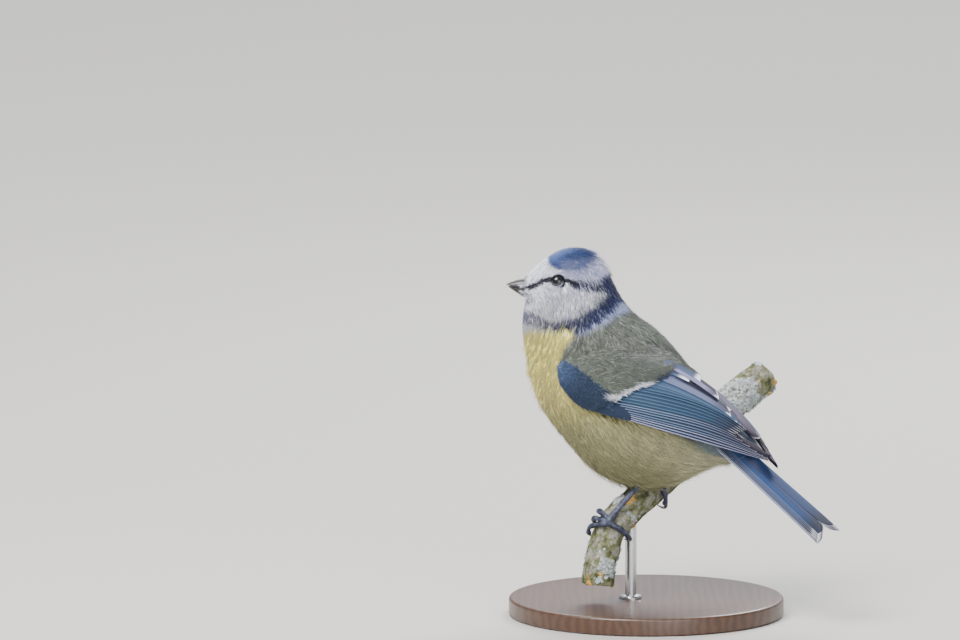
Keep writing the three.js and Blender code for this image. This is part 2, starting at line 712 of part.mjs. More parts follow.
function buildLegs() {
  const group = new THREE.Group();
  const perchClear = perchSolid(GAP);
  const skin = finish(0x5a6478, 0.55);
  const horn = finish(0x1f1f24, 0.35);
  for (const [side, leg] of Object.entries(LEGS)) {
    for (const each of TOES) {
      const hook = largest(claw(leg, each, 0).subtract(perchClear));
      group.add(node("claw_" + side + "_" + each.name, hook, horn));
    }
    group.add(node("leg_" + side, largest(foot(leg).subtract(perchClear)), skin));
  }
  return group;
}

function buildStand() {
  const group = new THREE.Group();
  group.add(node("perch", perchSolid(), finish(0x6b6a4e, 0.95)));
  const rim = BASE_RADIUS - BASE_EDGE;
  const base = new THREE.LatheGeometry(
    [
      new THREE.Vector2(0, 0),
      new THREE.Vector2(BASE_RADIUS, 0),
      new THREE.Vector2(BASE_RADIUS, BASE_THICK - BASE_EDGE),
      new THREE.Vector2(rim, BASE_THICK),
      new THREE.Vector2(0, BASE_THICK),
    ],
    48,
  );
  base.rotateX(Math.PI / 2);
  group.add(node("stand_base", solid(base), finish(0x3a2a20, 0.5)));

  const { point } = perchFrame(ROD_ALONG);
  const foot = BASE_THICK + GAP;
  const rod = new THREE.CylinderGeometry(ROD_RADIUS, ROD_RADIUS, point.z - foot, 16);
  rod.rotateX(Math.PI / 2);
  rod.translate(point.x, point.y, foot + (point.z - foot) / 2);
  const cut = largest(solid(rod).subtract(perchSolid(GAP)));
  group.add(node("stand_rod", cut, finish(0x8a8a8c, 0.3, 1)));
  return group;
}

const model = new THREE.Group();
model.add(buildBird(), buildStand());

export default model;
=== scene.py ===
# The looks of a perched blue tit: skin, plumage, wing and tail feathers, eyes, bill,
# legs, claws, bark with lichen, and the display stand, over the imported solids.
# Lengths in the tables are millimetres; meshes are made in metres in the part's frame.

import math

import bpy
import numpy as np
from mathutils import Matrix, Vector


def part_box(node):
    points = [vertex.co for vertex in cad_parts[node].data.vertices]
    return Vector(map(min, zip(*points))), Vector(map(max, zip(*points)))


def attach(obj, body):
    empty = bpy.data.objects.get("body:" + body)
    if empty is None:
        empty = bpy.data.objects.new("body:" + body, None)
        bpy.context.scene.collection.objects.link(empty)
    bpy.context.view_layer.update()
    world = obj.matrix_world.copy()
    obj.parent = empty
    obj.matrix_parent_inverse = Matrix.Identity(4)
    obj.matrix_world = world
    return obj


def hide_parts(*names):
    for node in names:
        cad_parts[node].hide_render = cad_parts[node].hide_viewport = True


bl_info = {
    "name": "Perched blue tit",
    "version": (1, 0, 0),
    "blender": (4, 5, 0),
    "location": "View3D > Sidebar > Blue tit",
    "description": "Builds the skin, feathers, perch and stand of a perched small songbird",
    "category": "Object",
}

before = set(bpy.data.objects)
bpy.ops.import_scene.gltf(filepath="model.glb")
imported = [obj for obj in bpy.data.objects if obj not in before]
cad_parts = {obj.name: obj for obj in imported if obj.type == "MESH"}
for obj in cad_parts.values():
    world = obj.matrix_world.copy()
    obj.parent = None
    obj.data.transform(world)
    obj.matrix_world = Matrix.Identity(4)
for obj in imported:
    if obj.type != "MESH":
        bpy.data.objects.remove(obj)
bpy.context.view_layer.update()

MM = 0.001
DEG = math.pi / 180
# Room that the solids leave between pieces that only just touch
GAP = 0.3
# Angle past which an edge of the stand stays sharp
SHARP = 0.6
SKIN_SEED, COAT_SEED = 11, 23

# The side view on which the markings are drawn and from which the camera looks: units a millimetre,
# tilt down, width and height in units, and a spot on it with the place in the part that lies there
UNITS = 3.64
TILT = 8 * DEG
VIEW_SIZE = (960, 640)
VIEW_SPOT = (640, 420)
VIEW_AT = (-2.0, -8.0, 55.5)
CAMERA_AWAY = 3000.0
SENSOR = 36

# Pose of the bird over the base
BIRD_AT = np.array([-2.0, -2.0, 55.5])
BIRD_HEADING = 155 * DEG
BODY_ROLL = 5.5 * DEG
HEAD_TURN = 25 * DEG
NECK_PIVOT = np.array([14.3, 0.0, 25.0])

# Stations of the body from the bill's base to the tail's base: top x and z, bottom x and z,
# half-width, egg, share of the head's turn, flatness of the back
STATIONS = np.array([
    [32.1, 37.0, 31.6, 33.1, 2.2, 0, 1, 1],
    [30.5, 39.6, 31.8, 30.7, 4.6, 0, 1, 1],
    [28.2, 41.9, 32.3, 28.0, 6.9, -0.05, 1, 1],
    [24.8, 44.4, 32.5, 25.4, 8.7, -0.1, 1, 1],
    [20.2, 46.4, 32.4, 22.6, 10.0, -0.15, 0.96, 1],
    [14.5, 46.1, 32.0, 19.4, 10.9, -0.15, 0.84, 1],
    [10.4, 43.1, 31.4, 16.0, 11.8, -0.12, 0.68, 1],
    [7.9, 38.0, 31.2, 12.2, 13.0, -0.05, 0.52, 1],
    [5.3, 32.4, 30.0, 7.8, 14.8, 0, 0.32, 1],
    [1.6, 28.0, 28.4, 3.0, 16.2, 0, 0.12, 0.95],
    [-3.8, 24.1, 25.5, -1.7, 17.3, 0, 0, 0.85],
    [-9.6, 17.8, 21.7, -6.1, 17.9, 0, 0, 0.75],
    [-14.2, 11.4, 17.8, -10.4, 17.8, 0, 0, 0.68],
    [-17.6, 7.0, 12.9, -14.9, 17.2, 0, 0, 0.62],
    [-20.4, 3.4, 6.6, -18.2, 16.0, 0, 0, 0.6],
    [-23.0, 0.2, -0.8, -19.6, 14.4, 0, 0, 0.62],
    [-25.4, -3.2, -8.4, -18.7, 12.4, 0, 0, 0.68],
    [-27.6, -6.0, -15.2, -15.9, 9.8, 0, 0, 0.75],
    [-29.6, -8.2, -21.4, -11.4, 7.2, 0, 0, 0.85],
    [-31.4, -9.8, -27.2, -10.4, 4.6, 0, 0, 0.95],
])
LAST = len(STATIONS) - 1

# Outer face of the folded left wing: rows from the back edge to the lower edge
WING_ROWS = np.array([
    [[13.4, 12.0, 22.2], [0.0, 11.0, 21.2], [-12.7, 4.8, 15.6], [-27.0, 3.0, 5.9], [-39.8, 1.8, -6.8]],
    [[17.2, 14.8, 17.8], [4.6, 18.4, 13.6], [-11.4, 17.9, 9.6], [-27.0, 11.6, 2.6], [-40.6, 2.8, -8.0]],
    [[17.2, 14.8, 12.9], [8.2, 18.6, 6.6], [-8.0, 19.2, 2.9], [-24.7, 13.4, -2.6], [-39.6, 3.4, -9.2]],
])
# How much lower the right wing hangs, along its length
RIGHT_WING_LOWER = np.array([0.6, 3.0, 4.0, 4.8, 3.8])

EYE = {"x": 22.7, "z": 38.7, "radius": 2.3, "proud": 0.75, "clear": 1.68}

# The bill from its base: x, outer edge, cutting edge, half-width
UPPER_BILL = np.array([
    [29.5, 38.2, 34.4, 2.4], [31.5, 38.1, 34.8, 2.3], [33.0, 37.9, 35.2, 1.9],
    [34.5, 37.5, 35.6, 1.4], [36.1, 36.9, 36.0, 0.8], [37.1, 36.4, 36.2, 0.2],
])
LOWER_BILL = np.array([
    [29.5, 31.4, 34.4, 2.2], [31.5, 32.5, 34.8, 2.1], [33.0, 33.4, 35.2, 1.7],
    [34.5, 34.3, 35.6, 1.2], [35.8, 35.2, 35.9, 0.6], [36.5, 35.7, 36.0, 0.2],
])

# The tail's root in x and z, its slope down, length, half-width at root and tip, and depth of its fork
TAIL_ROOT = (-18.0, 1.6)
TAIL_SLOPE = 39.3 * DEG
TAIL_LENGTH = 49.4
TAIL_HALF = (6.0, 8.0)
TAIL_FORK = 1.6

# The perch's middle line and its radii
PERCH_AXIS = np.array([
    [-13.5, -11.0, 10.1], [-13.0, -10.5, 14.8], [-11.3, -9.1, 21.5], [-9.7, -7.7, 25.5],
    [-6.4, -5.0, 28.7], [-2.0, -1.3, 32.4], [3.5, 3.3, 36.4], [9.0, 8.0, 41.7],
    [14.5, 12.6, 47.1], [24.1, 20.6, 56.2], [33.1, 28.2, 62.2],
])
PERCH_RADIUS = np.array([4.5, 4.4, 4.3, 4.3, 4.3, 4.3, 4.4, 4.5, 4.6, 4.8, 4.8])
# Height of the bark over the perch's core, where the toes grip it
BARK = 0.16

# Each leg's place along the perch, the angle of its toes' joint round it, and its ankle
LEGS = {
    "left": {"along": 2.85, "joint": -33 * DEG, "ankle": (-0.4, -7.0, 39.6), "side": 1},
    "right": {"along": 5.6, "joint": -52 * DEG, "ankle": (3.6, -0.6, 43.0), "side": -1},
}
SHANK_RADIUS = 0.85
# Each toe's wrap round the perch in degrees, its shift along it, its radius and its claw's length
TOES = {
    "inner": {"wrap": 92, "spread": 3.6, "radius": 0.75, "claw": 3.4},
    "middle": {"wrap": 118, "spread": 0.4, "radius": 0.8, "claw": 3.8},
    "outer": {"wrap": 96, "spread": -3.0, "radius": 0.75, "claw": 3.4},
    "hind": {"wrap": -84, "spread": 0, "radius": 0.85, "claw": 4.8},
}


# Small vector helpers

def unit(v):
    """Vectors of length 1 with the same directions."""
    return v / np.maximum(np.linalg.norm(v, axis=-1, keepdims=True), 1e-12)


def mix(a, b, t):
    """The value at share t of the way from a to b."""
    return a + (b - a) * t


def step(low, high, x):
    """Rises smoothly from 0 at low to 1 at high, or falls where high is the lower."""
    t = np.clip((np.asarray(x, float) - low) / (high - low), 0, 1)
    return t * t * (3 - 2 * t)


def spline(a, b, c, d, f):
    """Smooth way from b to c at share f, led by the values before and after them."""
    return 0.5 * (2 * b + (c - a) * f + (2 * a - 5 * b + 4 * c - d) * f ** 2
                  + (3 * b - a - 3 * c + d) * f ** 3)


def smooth_at(values, t):
    """A smooth value at place t among evenly spaced values, or rows of values."""
    values = np.asarray(values, float)
    last = len(values) - 1
    t = np.asarray(t, float)
    i = np.clip(np.floor(t).astype(int), 0, last - 1)
    f = t - i
    f = f.reshape(f.shape + (1,) * (values.ndim - 1))
    return spline(*(values[np.clip(i + k, 0, last)] for k in (-1, 0, 1, 2)), f)


def about_z(p, angle):
    """Points turned about the z axis."""
    c, s = np.cos(angle), np.sin(angle)
    return np.stack([p[..., 0] * c - p[..., 1] * s, p[..., 0] * s + p[..., 1] * c, p[..., 2]], -1)


def about_x(p, angle):
    """Points turned about the x axis."""
    c, s = np.cos(angle), np.sin(angle)
    return np.stack([p[..., 0], p[..., 1] * c - p[..., 2] * s, p[..., 1] * s + p[..., 2] * c], -1)


def to_part(p):
    """Bird frame to the part's frame, in millimetres."""
    return about_z(about_x(np.asarray(p, float), -BODY_ROLL), BIRD_HEADING) + BIRD_AT


def twist(p, turn):
    """Turns points of the straight bird with the head, then back to level."""
    return about_x(about_z(p - NECK_PIVOT, HEAD_TURN * turn), BODY_ROLL * turn) + NECK_PIVOT


def side_view(p):
    """Place of a point of the part on the side view, in its units."""
    x, y, z = (p[..., k] - VIEW_AT[k] for k in range(3))
    return np.stack([VIEW_SPOT[0] + UNITS * x,
                     VIEW_SPOT[1] - UNITS * (z * math.cos(TILT) + y * math.sin(TILT))], -1)


def body_point(s, angle, straight=False):
    """Body surface in the bird frame: s is the station, angle runs from the top down the left."""
    row = smooth_at(STATIONS, s)
    up, out = np.cos(angle), np.sin(angle)
    rounded = np.where(up > 0, np.sign(out) * np.abs(out) ** row[..., 7], out)
    t = (1 + up) / 2
    p = np.stack([
        mix(row[..., 2], row[..., 0], t),
        row[..., 4] * rounded * (1 + row[..., 5] * up),
        mix(row[..., 3], row[..., 1], t),
    ], -1)
    return p if straight else twist(p, row[..., 6])


def wing_point(along, down, side=1):
    """Outer face of a folded wing in the bird frame, carried on straight past its back edge."""
    along, down = np.broadcast_arrays(np.asarray(along, float), np.asarray(down, float))
    grid = np.stack([smooth_at(row, along * 4) for row in WING_ROWS], 0)
    f = down.clip(0) * 2
    i = np.clip(np.floor(f).astype(int), 0, 1)
    rows = [np.take_along_axis(grid, np.clip(i + k, 0, 2)[None, ..., None], 0)[0] for k in (-1, 0, 1, 2)]
    p = spline(*rows, (f - i)[..., None]) + (rows[2] - rows[0]) * down.clip(None, 0)[..., None]
    if side < 0:
        p = p - smooth_at(RIGHT_WING_LOWER, along * 4)[..., None] * np.array([0, 0, 1])
    return p * np.array([1, side, 1])


class Surface:
    """A grid of points with outward normals, read at any place (a, b).

    On the body a is the station and b the angle from the top; on a wing a runs along it from the
    shoulder and b down it from its back edge.
    """

    def __init__(self, point, a_range, b_range, counts, sign, wrap=False):
        self.a0, self.a1 = a_range
        self.b0, self.b1 = b_range
        self.counts = counts
        self.wrap = wrap
        a = np.linspace(self.a0, self.a1, counts[0])
        b = np.linspace(self.b0, self.b1, counts[1])
        self.points = to_part(point(a[:, None], b[None, :]))
        da = np.gradient(self.points, a, axis=0)
        db = np.gradient(self.points, b, axis=1)
        if wrap:
            db[:, 0] = db[:, -1] = (db[:, 0] + db[:, -1]) / 2
        self.normals = unit(np.cross(da, db)) * sign
        self.stretch = np.stack([np.linalg.norm(da, axis=-1), np.linalg.norm(db, axis=-1)], -1)

    def read(self, grid, a, b):
        """Values of one of its grids at places."""
        na, nb = self.counts
        fa = np.clip((a - self.a0) / (self.a1 - self.a0), 0, 1) * (na - 1)
        fb = (b - self.b0) / (self.b1 - self.b0)
        fb = (fb % 1 if self.wrap else np.clip(fb, 0, 1)) * (nb - 1)
        ia = np.clip(fa.astype(int), 0, na - 2)
        ib = np.clip(fb.astype(int), 0, nb - 2)
        ta, tb = (fa - ia)[..., None], (fb - ib)[..., None]
        return (grid[ia, ib] * (1 - ta) * (1 - tb) + grid[ia + 1, ib] * ta * (1 - tb)
                + grid[ia, ib + 1] * (1 - ta) * tb + grid[ia + 1, ib + 1] * ta * tb)

    def at(self, a, b, lift=0.0):
        """Points and normals at places, lifted off the surface by a height."""
        normal = unit(self.read(self.normals, a, b))
        return self.read(self.points, a, b) + normal * np.asarray(lift)[..., None], normal

    def roots(self, count, density, rng):
        """Places spread evenly by area times a density over (a, b)."""
        na, nb = self.counts
        a = np.linspace(self.a0, self.a1, na)
        b = np.linspace(self.b0, self.b1, nb)
        aa, bb = np.meshgrid(a, b, indexing="ij")
        weight = density(aa, bb) * self.stretch[..., 0] * self.stretch[..., 1]
        cells = (weight[:-1, :-1] + weight[1:, 1:]).ravel()
        total = np.cumsum(cells)
        pick = np.searchsorted(total, (np.arange(count) + rng.random(count)) / count * total[-1])
        pick = np.clip(pick, 0, len(cells) - 1)
        ia, ib = np.divmod(pick, nb - 1)
        return (a[ia] + rng.random(count) * (a[1] - a[0]), b[ib] + rng.random(count) * (b[1] - b[0]))


body = Surface(body_point, (0, LAST), (-math.pi, math.pi), (400, 361), -1, wrap=True)
wings = {
    side: Surface(lambda a, b, side=side: wing_point(a, b, side), (0.0, 1.02), (-0.4, 1.1), (240, 200), -side)
    for side in (1, -1)
}


FACE_CONE = {"narrowing": 0.2, "length": 2.4}


def face_point(s, angle):
    """The head's front, carried on as a cone over the base of the bill where s is below 0."""
    p = body_point(s.clip(0), angle)
    middle = (body_point(np.array(0.0), np.array(0.0)) + body_point(np.array(0.0), np.array(math.pi))) / 2
    ahead = twist(np.array([1.0, 0, 0]), 1.0) - twist(np.zeros(3), 1.0)
    reach = (-s).clip(0)[..., None]
    return p + (middle - p) * reach * FACE_CONE["narrowing"] + ahead * reach * FACE_CONE["length"]


face = Surface(face_point, (-1.0, 1.8), (-math.pi, math.pi), (90, 121), -1, wrap=True)


# Colours and markings

def srgb(r, g, b):
    """A display colour from 0 to 255 as linear numbers."""
    c = np.array([r, g, b], float) / 255
    return tuple(np.where(c <= 0.04045, c / 12.92, ((c + 0.055) / 1.055) ** 2.4))


def from_edge(p, a, b):
    """The share of the way along an edge that lies nearest to points, and their distance from it."""
    t = np.clip(((p - a) @ (b - a)) / ((b - a) @ (b - a)), 0, 1)
    return t, np.linalg.norm(p - a - t[..., None] * (b - a), axis=-1)


def inside(polygon, p, soft, grow=0.0):
    """1 inside an outline on the side view, grown by a width, and 0 outside, with a soft edge."""
    polygon = np.asarray(polygon, float)
    far = np.full(p.shape[:-1], np.inf)
    odd = np.zeros(p.shape[:-1], bool)
    for a, b in zip(polygon, np.roll(polygon, -1, 0)):
        far = np.minimum(far, from_edge(p, a, b)[1])
        if a[1] != b[1]:
            x = a[0] + (p[..., 1] - a[1]) / (b[1] - a[1]) * (b[0] - a[0])
            odd ^= ((a[1] > p[..., 1]) != (b[1] > p[..., 1])) & (p[..., 0] < x)
    return step(-soft, soft, np.where(odd, far, -far) + grow)


def near_line(line, p, widths, soft):
    """1 within a width of a line on the side view, with a soft edge."""
    line = np.asarray(line, float)
    best = np.full(p.shape[:-1], -np.inf)
    for i in range(len(line) - 1):
        t, far = from_edge(p, line[i], line[i + 1])
        best = np.maximum(best, mix(widths[i], widths[i + 1], t) - far)
    return step(-soft, soft, best)


# Outlines of the markings on the side view of the head and body
CAP = [(549, 250), (547, 258), (549, 265), (556, 269), (566, 270), (580, 269.5), (590, 265), (595, 258),
       (602, 253), (606, 240), (560, 232)]
COLLAR = [(609, 276), (622, 286), (620, 300), (614, 308), (606, 316), (597, 322), (588, 327), (578, 332),
          (568, 334), (557, 331.5), (558, 325), (566, 323), (575, 321), (584, 316.5), (592, 311.5),
          (600, 306), (607, 299.5), (610.5, 292), (606, 286), (604, 280)]
BIB = [(557, 331.5), (547, 330), (535, 326), (524, 322), (516, 322), (516, 311), (530, 313), (545, 321),
       (558, 325)]
EYE_LINE = [(527, 288.5), (535, 285), (541, 281.5), (547, 279.5), (557, 279.5), (568, 281), (578, 284)]
EYE_LINE_WIDTH = [2.8, 2.4, 2.6, 3.0, 3.0, 3.0, 2.4]
TRAIL = [(566, 281), (578, 284.5), (590, 287), (600, 287.5), (613, 285)]
TRAIL_WIDTH = [2.4, 4.6, 5.2, 5.8, 8.0]
BROW = [(560, 270), (600, 262), (612, 272), (604, 282), (580, 281), (560, 276)]
CAP_FRONT = [(549, 250), (548, 262), (556, 262), (574, 250), (566, 240)]
CAP_EDGE = [(560, 262), (600, 255), (605, 264), (584, 273.5), (564, 273.5)]
CHIN = [(518, 294), (531, 294), (535, 300), (530, 306), (518, 304)]
# Painted shade: dark lines in the coat under the eye that stand for the shade in the lid's creases
EYE_CREASE_SHADE = [(546, 287), (551, 290.5), (558, 292), (566, 291), (572, 288)]
CREASE_WIDTH = [0.2, 0.5, 0.6, 0.5, 0.2]
NAPE = [(618, 290), (632, 310), (616, 317), (606, 324), (592, 331), (578, 336), (570, 334), (590, 322),
        (606, 310), (616, 300)]
UNDERSIDE = [(500, 333), (540, 331), (558, 333), (577, 334), (571, 341), (564, 350), (560, 362), (557, 372),
             (560, 384), (567, 393), (590, 408), (640, 423), (700, 444), (735, 458), (735, 560), (480, 560)]


def body_colour(s, angle, look, rng):
    """Linear colour of the plumage at places on the body."""
    turn = np.abs(angle)
    p = side_view(to_part(body_point(s, turn)))
    p = p + rng.normal(0, 1, p.shape) * mix(0.75, 0.5, step(9, 10, s))[..., None]
    colour = np.empty(p.shape[:-1] + (3,))
    colour[:] = look.cheek

    def lay(tint, mask):
        colour[:] = mix(colour, tint, mask[..., None])

    # Cheeks, back and rump
    strand = rng.random(p.shape[:-1])
    dark_strand = (strand < 0.3) * 1.0
    # Painted shade: lilac grey on part of the strands, for the shade between the white ones
    lay(look.cheek_shade, np.where(strand < 0.3, 0.85, np.where(strand < 0.5, 0.35, 0.0)))
    on_body = step(6.4, 8.4, s)
    grey_top = step(0, 1, (p[..., 1] - 300) / 110)
    lay(mix(look.mantle_high, look.mantle, grey_top[..., None]), on_body)
    lay(look.mantle_dark, on_body * dark_strand * 0.55)
    lay(look.rump, step(14.5, 17.5, s) * step(0.95, 0.7, turn))

    # Breast and belly, paler at the throat, and grey white at the vent; the belly's olive is partly painted
    # shade, and its darkening towards the bottom is painted shade
    under = inside(UNDERSIDE, p, 1.8)
    under = np.maximum(under, step(1.75, 2.15, turn) * step(9, 11, s))
    under = under * (1 - step(0.95, 0.7, turn) * on_body)
    belly = mix(look.breast, look.belly, step(365, 440, p[..., 1])[..., None])
    # Painted shade: the lowest part of the underside darkened to 0.66
    belly = belly * mix(1.0, 0.66, step(440, 485, p[..., 1]))[..., None]
    lay(belly * mix(1.0, 0.8, dark_strand)[..., None], under)
    lay(look.vent, under * step(15.2, 17.2, s))
    # Partly the breast's own paler middle and partly painted light along the breast's front outline
    lay(look.breast_edge, under * step(2.55, 3.05, turn) * 0.5 * step(15, 11, s))
    lay(look.throat, under * step(337, 329, p[..., 1]) * 0.85)
    lay(look.nape, inside(NAPE, p, 2.2) * step(2.2, 1.6, turn) * 0.9)

    # Cap, collar and bib
    head = 1 - step(8.6, 9.6, s)
    lay(look.lavender, inside(BROW, p, 3) * 0.7)
    cap = inside(CAP, p, 1.7) * head
    lay(look.cap, cap)
    lay(look.cap_deep, cap * (strand < 0.35) * 0.7)
    bright = inside(CAP_FRONT, p, 4)
    lay(look.cap_bright, np.maximum(bright * 0.8, (strand > 0.8) * 0.6) * inside(CAP, p, 1.5))
    lay(mix(look.cap, look.lavender, 0.5), inside(CAP_EDGE, p, 4) * np.where(strand < 0.5, 0.75, 0.3))
    lay(look.collar, inside(COLLAR, p, 2.0, 2.0) * head * np.where(strand > 0.85, 0.55, 0.97))
    sparse = (rng.random(p.shape[:-1]) < mix(0.66, 0.88, step(530, 557, p[..., 0]))).astype(float)
    lay(look.collar, inside(BIB, p, 1.8, 1.0) * head * sparse * 0.9)

    # Chin, painted shade in the cheek crease under the eye, and the lines before and behind the eye
    lay(look.eye_line, inside(CHIN, p, 1.5) * (rng.random(p.shape[:-1]) < 0.6) * 0.8)
    lay(look.collar, near_line(EYE_CREASE_SHADE, p, CREASE_WIDTH, 0.4) * head * 0.6)
    lay(look.collar, near_line(TRAIL, p, TRAIL_WIDTH, 1.8) * head * np.where(strand > 0.8, 0.5, 0.95))
    lay(look.eye_line, near_line(EYE_LINE, p, EYE_LINE_WIDTH, 1.0) * head)
    return colour


# Lower edge of the scapulars and the pale bar on the wing's face, as (a, b)
SCAPULARS = [(0.0, 0.44), (0.04, 0.415), (0.146, 0.417), (0.235, 0.477), (0.318, 0.53), (0.363, 0.6),
             (0.388, 0.535), (0.414, 0.446), (0.435, 0.371), (0.467, 0.309), (0.484, 0.222), (0.5, 0.12),
             (0.54, -0.04), (0.56, -0.35)]
BAR = [(0.5, 0.2), (0.474, 0.34), (0.442, 0.4), (0.42, 0.475), (0.394, 0.571), (0.363, 0.691), (0.33, 0.8),
       (0.29, 0.95)]


def scapular_edge(a):
    """Place across the wing's face where the feathers of the shoulder end."""
    x, y = np.array(SCAPULARS).T
    return np.interp(a, x, y)


def bar_place(b):
    """Place along the wing's face where the pale bar runs."""
    x, y = np.array(BAR).T
    return np.interp(b, y, x)


def wing_colour(a, b, look, rng):
    """Linear colour of the small feathers on the folded wing."""
    strand = rng.random(a.shape)
    a = a + rng.normal(0, 0.005, a.shape)
    b = b + rng.normal(0, 0.012, b.shape)
    scapular = step(0.02, -0.02, b - scapular_edge(a))
    blue = mix(look.shoulder, look.coverts, step(0.03, 0.22, a)[..., None])
    blue = mix(blue, look.slate, ((strand < 0.4) * 0.6 + 0.2 * step(0.7, 0.95, b))[..., None])
    white = step(-0.048, -0.032, a - bar_place(b)) * step(0.28, 0.33, b) * step(0.68, 0.6, b)
    blue = mix(blue, look.tip_white, (white * 0.92)[..., None])
    height = side_view(wings[1].at(a, b)[0])[..., 1]
    olive = mix(look.mantle_high, look.mantle, step(300, 410, height)[..., None])
    olive = mix(olive, look.mantle_dark, ((strand < 0.33) * 0.6)[..., None])
    olive = mix(olive, look.mantle_high, ((strand > 0.82) * 0.6)[..., None])
    return mix(blue, olive, scapular[..., None])


# Mesh building

def new_mesh(name, points, faces, tint=None, uv=None, material=None, vane=None):
    """A smooth mesh object from points in millimetres, with a colour and map places for each point."""
    mesh = bpy.data.meshes.new(name)
    points = np.asarray(points, float).reshape(-1, 3)
    faces = np.asarray(faces, np.int32)
    mesh.vertices.add(len(points))
    mesh.vertices.foreach_set("co", (points * MM).astype(np.float32).ravel())
    mesh.loops.add(faces.size)
    mesh.loops.foreach_set("vertex_index", faces.ravel())
    mesh.polygons.add(len(faces))
    mesh.polygons.foreach_set("loop_start", np.arange(0, faces.size, faces.shape[1], dtype=np.int32))
    mesh.polygons.foreach_set("use_smooth", np.ones(len(faces), bool))
    mesh.update(calc_edges=True)
    if tint is not None:
        layer = mesh.attributes.new("tint", "FLOAT_COLOR", "POINT")
        rgba = np.ones((len(points), 4), np.float32)
        rgba[:, :3] = np.asarray(tint).reshape(-1, 3)
        layer.data.foreach_set("color", rgba.ravel())
    for label, values in (("OFBake", uv), ("Vane", vane)):
        if values is not None:
            layer = mesh.uv_layers.new(name=label)
            layer.data.foreach_set("uv", np.asarray(values, np.float32).reshape(-1, 2)[faces.ravel()].ravel())
    if material is not None:
        mesh.materials.append(material)
    obj = bpy.data.objects.new(name, mesh)
    bpy.context.scene.collection.objects.link(obj)
    return obj


def round_angles(sides):
    """Evenly spaced angles once round."""
    return np.arange(sides) / sides * 2 * math.pi


def tube_faces(rings, sides, cap=True):
    """Triangles round a tube of rings, with flat caps."""
    j, k = np.meshgrid(np.arange(rings - 1), np.arange(sides), indexing="ij")
    a = j * sides + k
    b = j * sides + (k + 1) % sides
    c, d = a + sides, b + sides
    faces = [np.stack([a, d, b], -1).reshape(-1, 3), np.stack([a, c, d], -1).reshape(-1, 3)]
    if cap:
        k = np.arange(1, sides - 1)
        end = (rings - 1) * sides
        faces.append(np.stack([0 * k, k, k + 1], -1))
        faces.append(np.stack([0 * k + end, end + k + 1, end + k], -1))
    return np.concatenate(faces)


def tube(points, radii, sides):
    """Rings of a round tube through points."""
    points = np.asarray(points, float)
    along = unit(np.gradient(points, axis=0))
    up = np.where(np.abs(along[:, 2:3]) < 0.8, [[0, 0, 1.0]], [[0, 1.0, 0]])
    u = unit(np.cross(along, up))
    v = np.cross(along, u)
    angle = round_angles(sides)[None, :, None]
    return points[:, None] + radii[:, None, None] * (u[:, None] * np.cos(angle) + v[:, None] * np.sin(angle))


def outward(points, faces):
    """Turns the faces of a closed surface outwards."""
    p = np.asarray(points, float).reshape(-1, 3)
    p = p - p.mean(0)
    a, b, c = (p[faces[:, i]] for i in range(3))
    return faces if np.einsum("ij,ij->i", a, np.cross(b, c)).sum() > 0 else faces[:, ::-1]


def ring_mesh(name, rings, tint=None, material=None):
    """A closed mesh over one stack of rings."""
    return new_mesh(name, rings, outward(rings, tube_faces(*rings.shape[:2])), tint, material=material)


def join_shells(shells):
    """Several closed shells, each points with their faces, as one list of points and one of faces."""
    points, faces, start = [], [], 0
    for shell, corners in shells:
        flat = shell.reshape(-1, 3)
        points.append(flat)
        faces.append(outward(flat, corners) + start)
        start += len(flat)
    return np.concatenate(points), np.concatenate(faces)


# Places in the bake's picture of the coat on the body: corner and size
BODY_ZONE = ((0.02, 0.02), (0.55, 0.96))

# Most barbs in one piece of the coat
PIECE_BARBS = 19500

# A barb has a ring of three points at its root, another at its middle, and its tip
# Painted shade and light along a barb: its root and middle darker, where the barbs shade one another, and its
# tip lighter than its colour
BARB_SHADE = np.array([0.5, 0.5, 0.55, 0.86, 0.86, 0.98, 1.12])
BARB_SPOTS = np.array([[0, 0], [0, 1], [0, 0.5], [0.5, 0], [0.5, 1], [0.5, 0.5], [1, 0.5]]) * 0.003
BARB_FACES = np.array([
    [0, 1, 4], [0, 4, 3], [1, 2, 5], [1, 5, 4], [2, 0, 3], [2, 3, 5],
    [3, 4, 6], [4, 5, 6], [5, 3, 6], [0, 2, 1],
])


def barbs(surface, a, b, heading, length, width, lifts, colour, zone):
    """Thin tapered barbs that hug a surface. Returns points, tints and bake places."""
    metric = surface.read(surface.stretch, a, b)
    half = length / 2
    am = a + np.cos(heading) * half / metric[:, 0]
    bm = b + np.sin(heading) * half / metric[:, 1]
    metric = surface.read(surface.stretch, am, bm)
    at = am + np.cos(heading) * half / metric[:, 0]
    bt = bm + np.sin(heading) * half / metric[:, 1]
    p0, n0 = surface.at(a, b, lifts[0])
    p1, n1 = surface.at(am, bm, lifts[1])
    tip, _ = surface.at(at, bt, lifts[2])
    rings = []
    for p, normal, ahead, w in ((p0, n0, p1 - p0, width), (p1, n1, tip - p0, width * 0.9)):
        side = unit(np.cross(normal, ahead)) * (w / 2)[:, None]
        rings += [p - side, p + side, p + normal * (w * 0.4)[:, None]]
    points = np.stack(rings + [tip], 1)
    # Painted shade and light from BARB_SHADE, weaker on pale colours
    shade = 1 - (1 - BARB_SHADE[None]) * (1 - 0.65 * colour.mean(-1).clip(0, 1)[:, None])
    tint = np.clip(colour[:, None, :] * shade[..., None], 0, 1)
    (u0, v0), (du, dv) = zone
    base = np.stack([
        u0 + (a - surface.a0) / (surface.a1 - surface.a0) * du,
        v0 + (b - surface.b0) / (surface.b1 - surface.b0) * dv,
    ], -1)
    return points.reshape(-1, 3), tint.reshape(-1, 3), (base[:, None] + BARB_SPOTS[None]).reshape(-1, 2)


